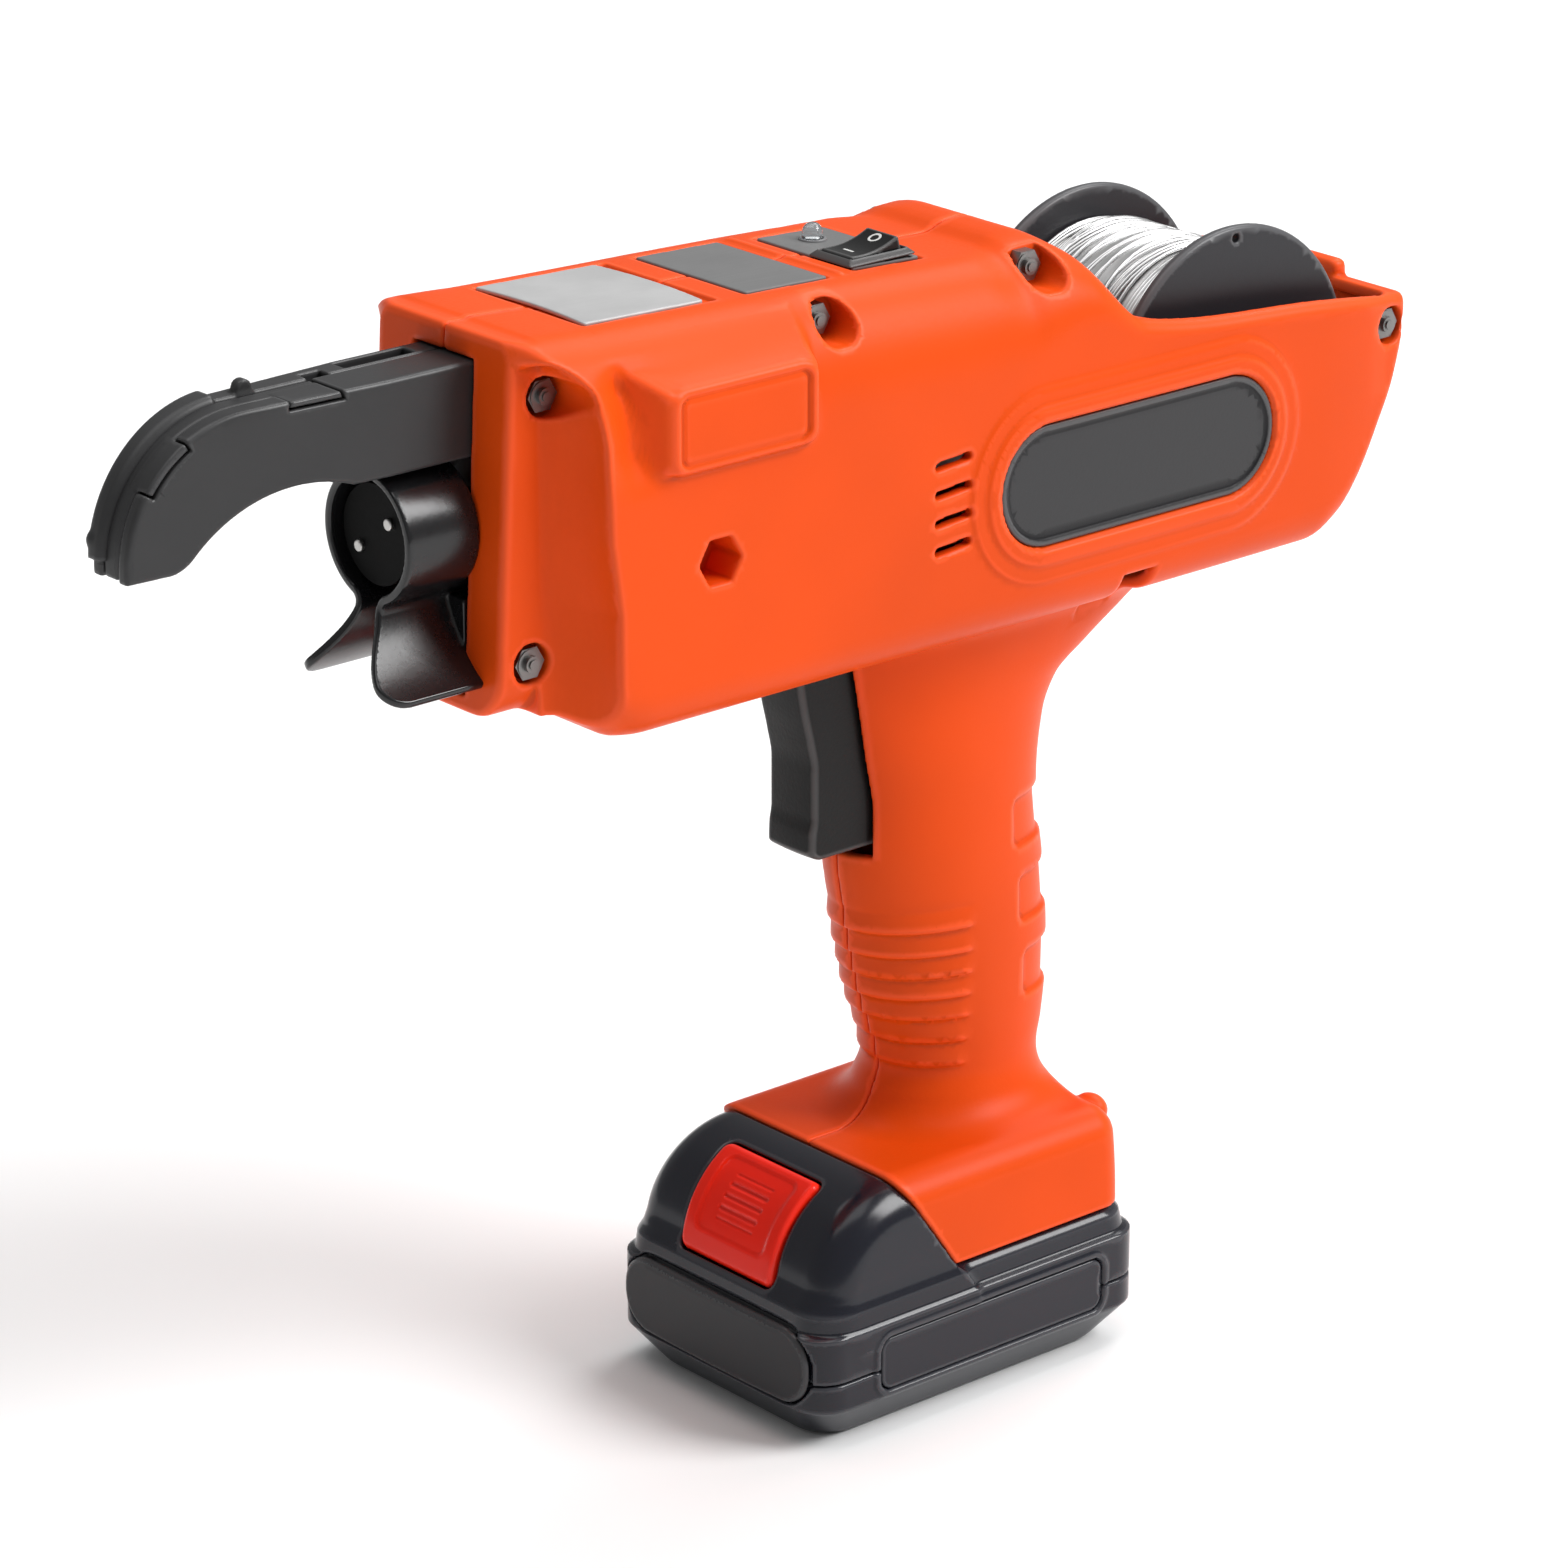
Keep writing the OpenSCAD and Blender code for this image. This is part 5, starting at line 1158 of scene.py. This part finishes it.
def button_form(x, y, z):
    across = press_axes(x, z)[1]
    turn = np.hypot(x - dome_x, z - dome_z)
    form = soft_and(rounded_box(across - 1.5, y, 10.7, 12.95, 1.6), turn - 20.9, 0.9)
    form = np.maximum(form, 14.6 - turn)
    tray = rounded_box(across - pad_across, y, 7.6, 9.6, 1.8)
    sunk = 0.4 * (1 - step_up(tray, 0, 1.2))
    pad = rounded_box(across - pad_across, y, 5.0, 5.6, 0.8)
    ribs = np.maximum(0, np.cos((across - pad_across) / rib_pitch * 2 * math.pi))
    grooves = 0.35 * ribs * (1 - step_up(pad, -0.4, 0.6))
    return form + (sunk + grooves) * (turn > 17)


button = Moulding((-43, -15, 24), (-16, 15, 50), 0.25)
button.add(button_form)
button.place("latch_cap", 0.006, latch_red, "latch", "red_plastic", "latch_button")


# Wire spool: two thin charcoal flanges on a hub, moulded in one, that runs loose on the axle across the bay.
# A small hole near the rim takes the end of the wire.
spool_satin = moulded_plastic("spool_satin", (0.022, 0.022, 0.026), 0.38, 0.06, 0.3, 0.25)
spool_x, spool_z, spool_r = 68.0, 184.0, 30.0
axle_bore_r = 5.05


def reel_form(x, y, z):
    away = np.hypot(x - spool_x, z - spool_z)
    flange = soft_and(away - spool_r, slab(np.abs(y), 18.5, 20.9), 0.9)
    boss = soft_and(away - 9.5, slab(np.abs(y), 19, 20.85), 0.4)
    hub = np.maximum(away - 12, np.abs(y) - 19)
    return np.minimum(np.minimum(flange, hub), boss)


reel = Moulding((36, -22.5, 152), (100, 22.5, 216), 0.4)
reel.add(reel_form)
reel.cut(bore(axle_bore_r, x=spool_x, z=spool_z), 0.3)
reel.cut(lambda x, y, z: np.maximum(np.hypot(x - 68.3, z - 211.8) - 0.85, y + 15), 0.2)
reel.place("spool_reel", 0.006, spool_satin, "spool", "spool_plastic", "spool")


# Tie wire: 0.8 mm annealed steel wound on the spool, one unbroken length.
# Even turns lie below, and the last turns wander and cross over them, as they do when the wire is let go.
tie_wire = bright_steel("tie_wire", (0.66, 0.66, 0.66), 0.34, 1500.0)
wire_r = 0.4
lay_half, lay_r = 17.7, 23.55
under_turns, over_turns, per_turn = 44, 26, 56
knot_count = 9
rng = np.random.default_rng(7)
knots = rng.uniform(-lay_half, lay_half, knot_count)
knots[0] = -lay_half
t = np.arange((under_turns + over_turns) * per_turn + 1) / per_turn
spin = 2 * math.pi * t
over = np.maximum(t - under_turns, 0)
even = lay_half - 2 * lay_half * np.minimum(t, under_turns) / under_turns + 0.10 * np.sin(spin)
drift = np.interp(over, np.linspace(0, over_turns, knot_count), knots)
wander = 1.6 * np.sin(spin * 1.013 + 0.7) + 0.9 * np.sin(spin * 2.03)
lay_y = np.where(t < under_turns, even, np.clip(drift + wander, -lay_half, lay_half))
heap = 0.72 + 0.16 * np.sin(spin * 3.1 + 1.0) + 0.12 * (over / over_turns)
away = lay_r + np.where(t < under_turns, 0, heap)
angle = spin + 0.6
wire_path = np.stack([spool_x + away * np.cos(angle), lay_y, spool_z + away * np.sin(angle)], axis=1)


def wire_tree():
    """Round wire with closed ends along a run of edges"""
    tree = PieceTree("wound_wire", Wire_radius="Float")
    source = tree.source
    ring = tree.add("GeometryNodeCurvePrimitiveCircle", {"Resolution": 6, "Radius": source["Wire radius"]})
    run = tree.add("GeometryNodeMeshToCurve", {0: source["Geometry"]})
    sweep = tree.add("GeometryNodeCurveToMesh", {0: run, 1: ring, "Fill Caps": True})
    return tree.finish(tree.add("GeometryNodeSetShadeSmooth", {0: sweep}))


drawn_wire = wire_tree()


def wire_along(name, path, radius, finish):
    """Mesh of a wire along a path in millimetres"""
    run = bpy.data.meshes.new(name + "_run")
    run.from_pydata((path * 0.001).tolist(), [(i, i + 1) for i in range(len(path) - 1)], [])
    return grown(name, drawn_wire, run, {"Wire radius": radius * 0.001, "Finish": finish})


wound = wire_along("wound_wire", wire_path, wire_r, tie_wire)
place("wound_wire", wound, None, "spool", "wire_steel", "wire_winding")


# Return springs: coils of music wire with closed end turns, one behind the trigger and one under the latch.
# Each rests on a fixed seat and runs to the piece that it pushes back, drawn as it stands at rest.
spring_steel = bright_steel("spring_steel", (0.50, 0.50, 0.51), 0.30)
spring_wire_r = 0.35


def coil_path(fixed, free, radius, turns):
    along = np.array(free) - fixed
    length = np.linalg.norm(along)
    across = np.cross(along / length, (0, 1, 0))
    turn = np.linspace(0, turns, turns * 20 + 1)
    closed = 2 * spring_wire_r / length
    climb = np.interp(turn, (0, 1, turns - 1, turns), (0, closed, 1 - closed, 1))
    path = fixed + np.outer(climb, along) + radius * np.outer(np.cos(2 * math.pi * turn), across)
    path[:, 1] += radius * np.sin(2 * math.pi * turn)
    return path


springs = (
    ("trigger_coil", "trigger_spring", "tool", "trigger_pull",
     (8.8, 0, 116.42), (-4.2, 0, 116.42), 2.25, 8, 0.70),
    ("latch_coil", "latch_spring", "battery", "latch_press",
     (-24.65, 0, 32.49), (-28.71, 0, 35.72), 2.65, 5, 0.58),
)
for name, node, body, joint, fixed, free, radius, turns, keep in springs:
    wire = wire_along(name, coil_path(fixed, free, radius, turns), spring_wire_r, spring_steel)
    coil = place(name, wire, None, body, "steel", node)
    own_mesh(coil)


# Inner parts: motors, gearboxes, feed unit, cutter, board, contacts and cells, as the solids give them.
# They are turned, cast, pressed or bought in, and get the finish of their trade.
def cast_metal(name, colour, rough):
    """Die cast alloy: matt, pebbled, a little darker in the pits"""
    material, shader, where = new_finish(name, Metallic=0.85)
    pebble = where.noise(420.0, 4.0, 0.6)
    base = pebble.clear(0.3, 0.7).blend(tint(colour, 0.7), tint(colour))
    feed(shader, Base_Color=base, Roughness=rough + 0.16 * pebble - 0.08, Normal=pebble.bump(0.25, 0.0004))
    return material


def circuit_board():
    """Green mask with copper runs under it, in steps of a square grid"""
    material, shader, where = new_finish("circuit_board", IOR=1.5, Roughness=0.35)
    cell = where.node("ShaderNodeTexVoronoi", {"Vector": where, "Scale": 420.0, "Randomness": 0.35},
                      distance="MANHATTAN")
    runs = cell.clear(0.42, 0.5)
    mask = runs.blend((0.008, 0.075, 0.03, 1), (0.02, 0.15, 0.06, 1))
    feed(shader, Base_Color=mask, Normal=runs.bump(0.2, 0.0002))
    return material


dress(cast_metal("die_cast_alloy", (0.46, 0.46, 0.47), 0.5), "front_frame", "twist_gearbox", "feed_gearbox")
dress(bright_steel("motor_steel", (0.45, 0.45, 0.46), 0.36),
      "twist_motor", "feed_motor", "twist_bearing", "spool_axle", "wire_tube", "trigger_pin", "brake_pin",
      "feed_bracket", "cutter_die", "cutter_blade", "battery_screws", "cell_links",
      "feed_drive", "feed_idler", "feed_drive_gear", "feed_idler_gear")
dress(bright_steel("brake_steel", (0.40, 0.46, 0.58), 0.32), "brake_lever")
dress(tie_wire, "wire_core")
dress(bright_steel("brass", (0.72, 0.50, 0.20), 0.3), "wire_eyelet", "tool_contacts", "battery_contacts")
dress(circuit_board(), "control_board")
dress(moulded_plastic("black_nylon", (0.018, 0.018, 0.019), 0.45, 0.1),
      "board_parts", "trigger_switch", "terminal_block")
dress(moulded_plastic("cell_wrap", (0.03, 0.12, 0.32), 0.32, 0.03), "battery_cells")


# Camera at the photograph's angle, pale floor and soft studio lamps.
# The tool stands on its battery on a wide white floor.
# Three soft boxes light it, with a low even light from all round.
camera = bpy.data.objects.new("camera", bpy.data.cameras.new("camera"))
bpy.context.scene.collection.objects.link(camera)
turn, rise = math.radians(40.78), math.radians(20.51)
camera.location = (-0.70370, -0.78785, 0.51005)
camera.rotation_euler = (math.pi / 2 - rise, 0, -turn)
camera.data.lens = 139.27
camera.data.sensor_width = 36
camera.data.clip_end = 20
bpy.context.scene.camera = camera

floor_mesh = bpy.data.meshes.new("floor")
floor_mesh.from_pydata([(-6, -6, 0), (6, -6, 0), (6, 6, 0), (-6, 6, 0)], [], [(0, 1, 2, 3)])
floor = bpy.data.objects.new("floor", floor_mesh)
bpy.context.scene.collection.objects.link(floor)
white_floor, shader, where = new_finish("white_floor", Roughness=0.9)
feed(shader, Base_Color=where.noise(3.0).blend((0.93, 0.93, 0.93, 1), (0.95, 0.95, 0.95, 1)))
floor_mesh.materials.append(white_floor)

world = bpy.data.worlds.new("studio")
world.use_nodes = True
bpy.context.scene.world = world
tree = world.node_tree
back = tree.nodes["Background"]
back.inputs["Color"].default_value = (1, 1, 1, 1)
rays = tree.nodes.new("ShaderNodeLightPath").outputs
camera_ray = Value(tree, rays["Is Camera Ray"])
glossy_ray = Value(tree, rays["Is Glossy Ray"])
clear_ray = Value(tree, rays["Is Transmission Ray"])
seen = camera_ray.maths("MAXIMUM", camera_ray, clear_ray)
strength = seen + (1 - seen) * (0.22 + 0.14 * glossy_ray)
tree.links.new(strength.socket, back.inputs["Strength"])


def soft_box(name, spot, size, power):
    """Square area lamp that faces the middle of the tool"""
    lamp = bpy.data.lights.new(name, "AREA")
    lamp.shape = "RECTANGLE"
    lamp.size = size
    lamp.size_y = size
    lamp.energy = power
    made = bpy.data.objects.new(name, lamp)
    bpy.context.scene.collection.objects.link(made)
    made.location = spot
    aim = np.array((0, 0, 0.13)) - spot
    pitch = math.acos(-aim[2] / np.linalg.norm(aim))
    made.rotation_euler = (pitch, 0, math.atan2(aim[1], aim[0]) - math.pi / 2)


soft_box("key_box", (1.8, -2.0, 2.5), 1.8, 122)
soft_box("top_box", (-0.3, 0.2, 3.0), 2.6, 40)
soft_box("rear_box", (1.6, 0.4, 2.2), 1.2, 22)
bpy.context.scene.view_settings.view_transform = "Standard"
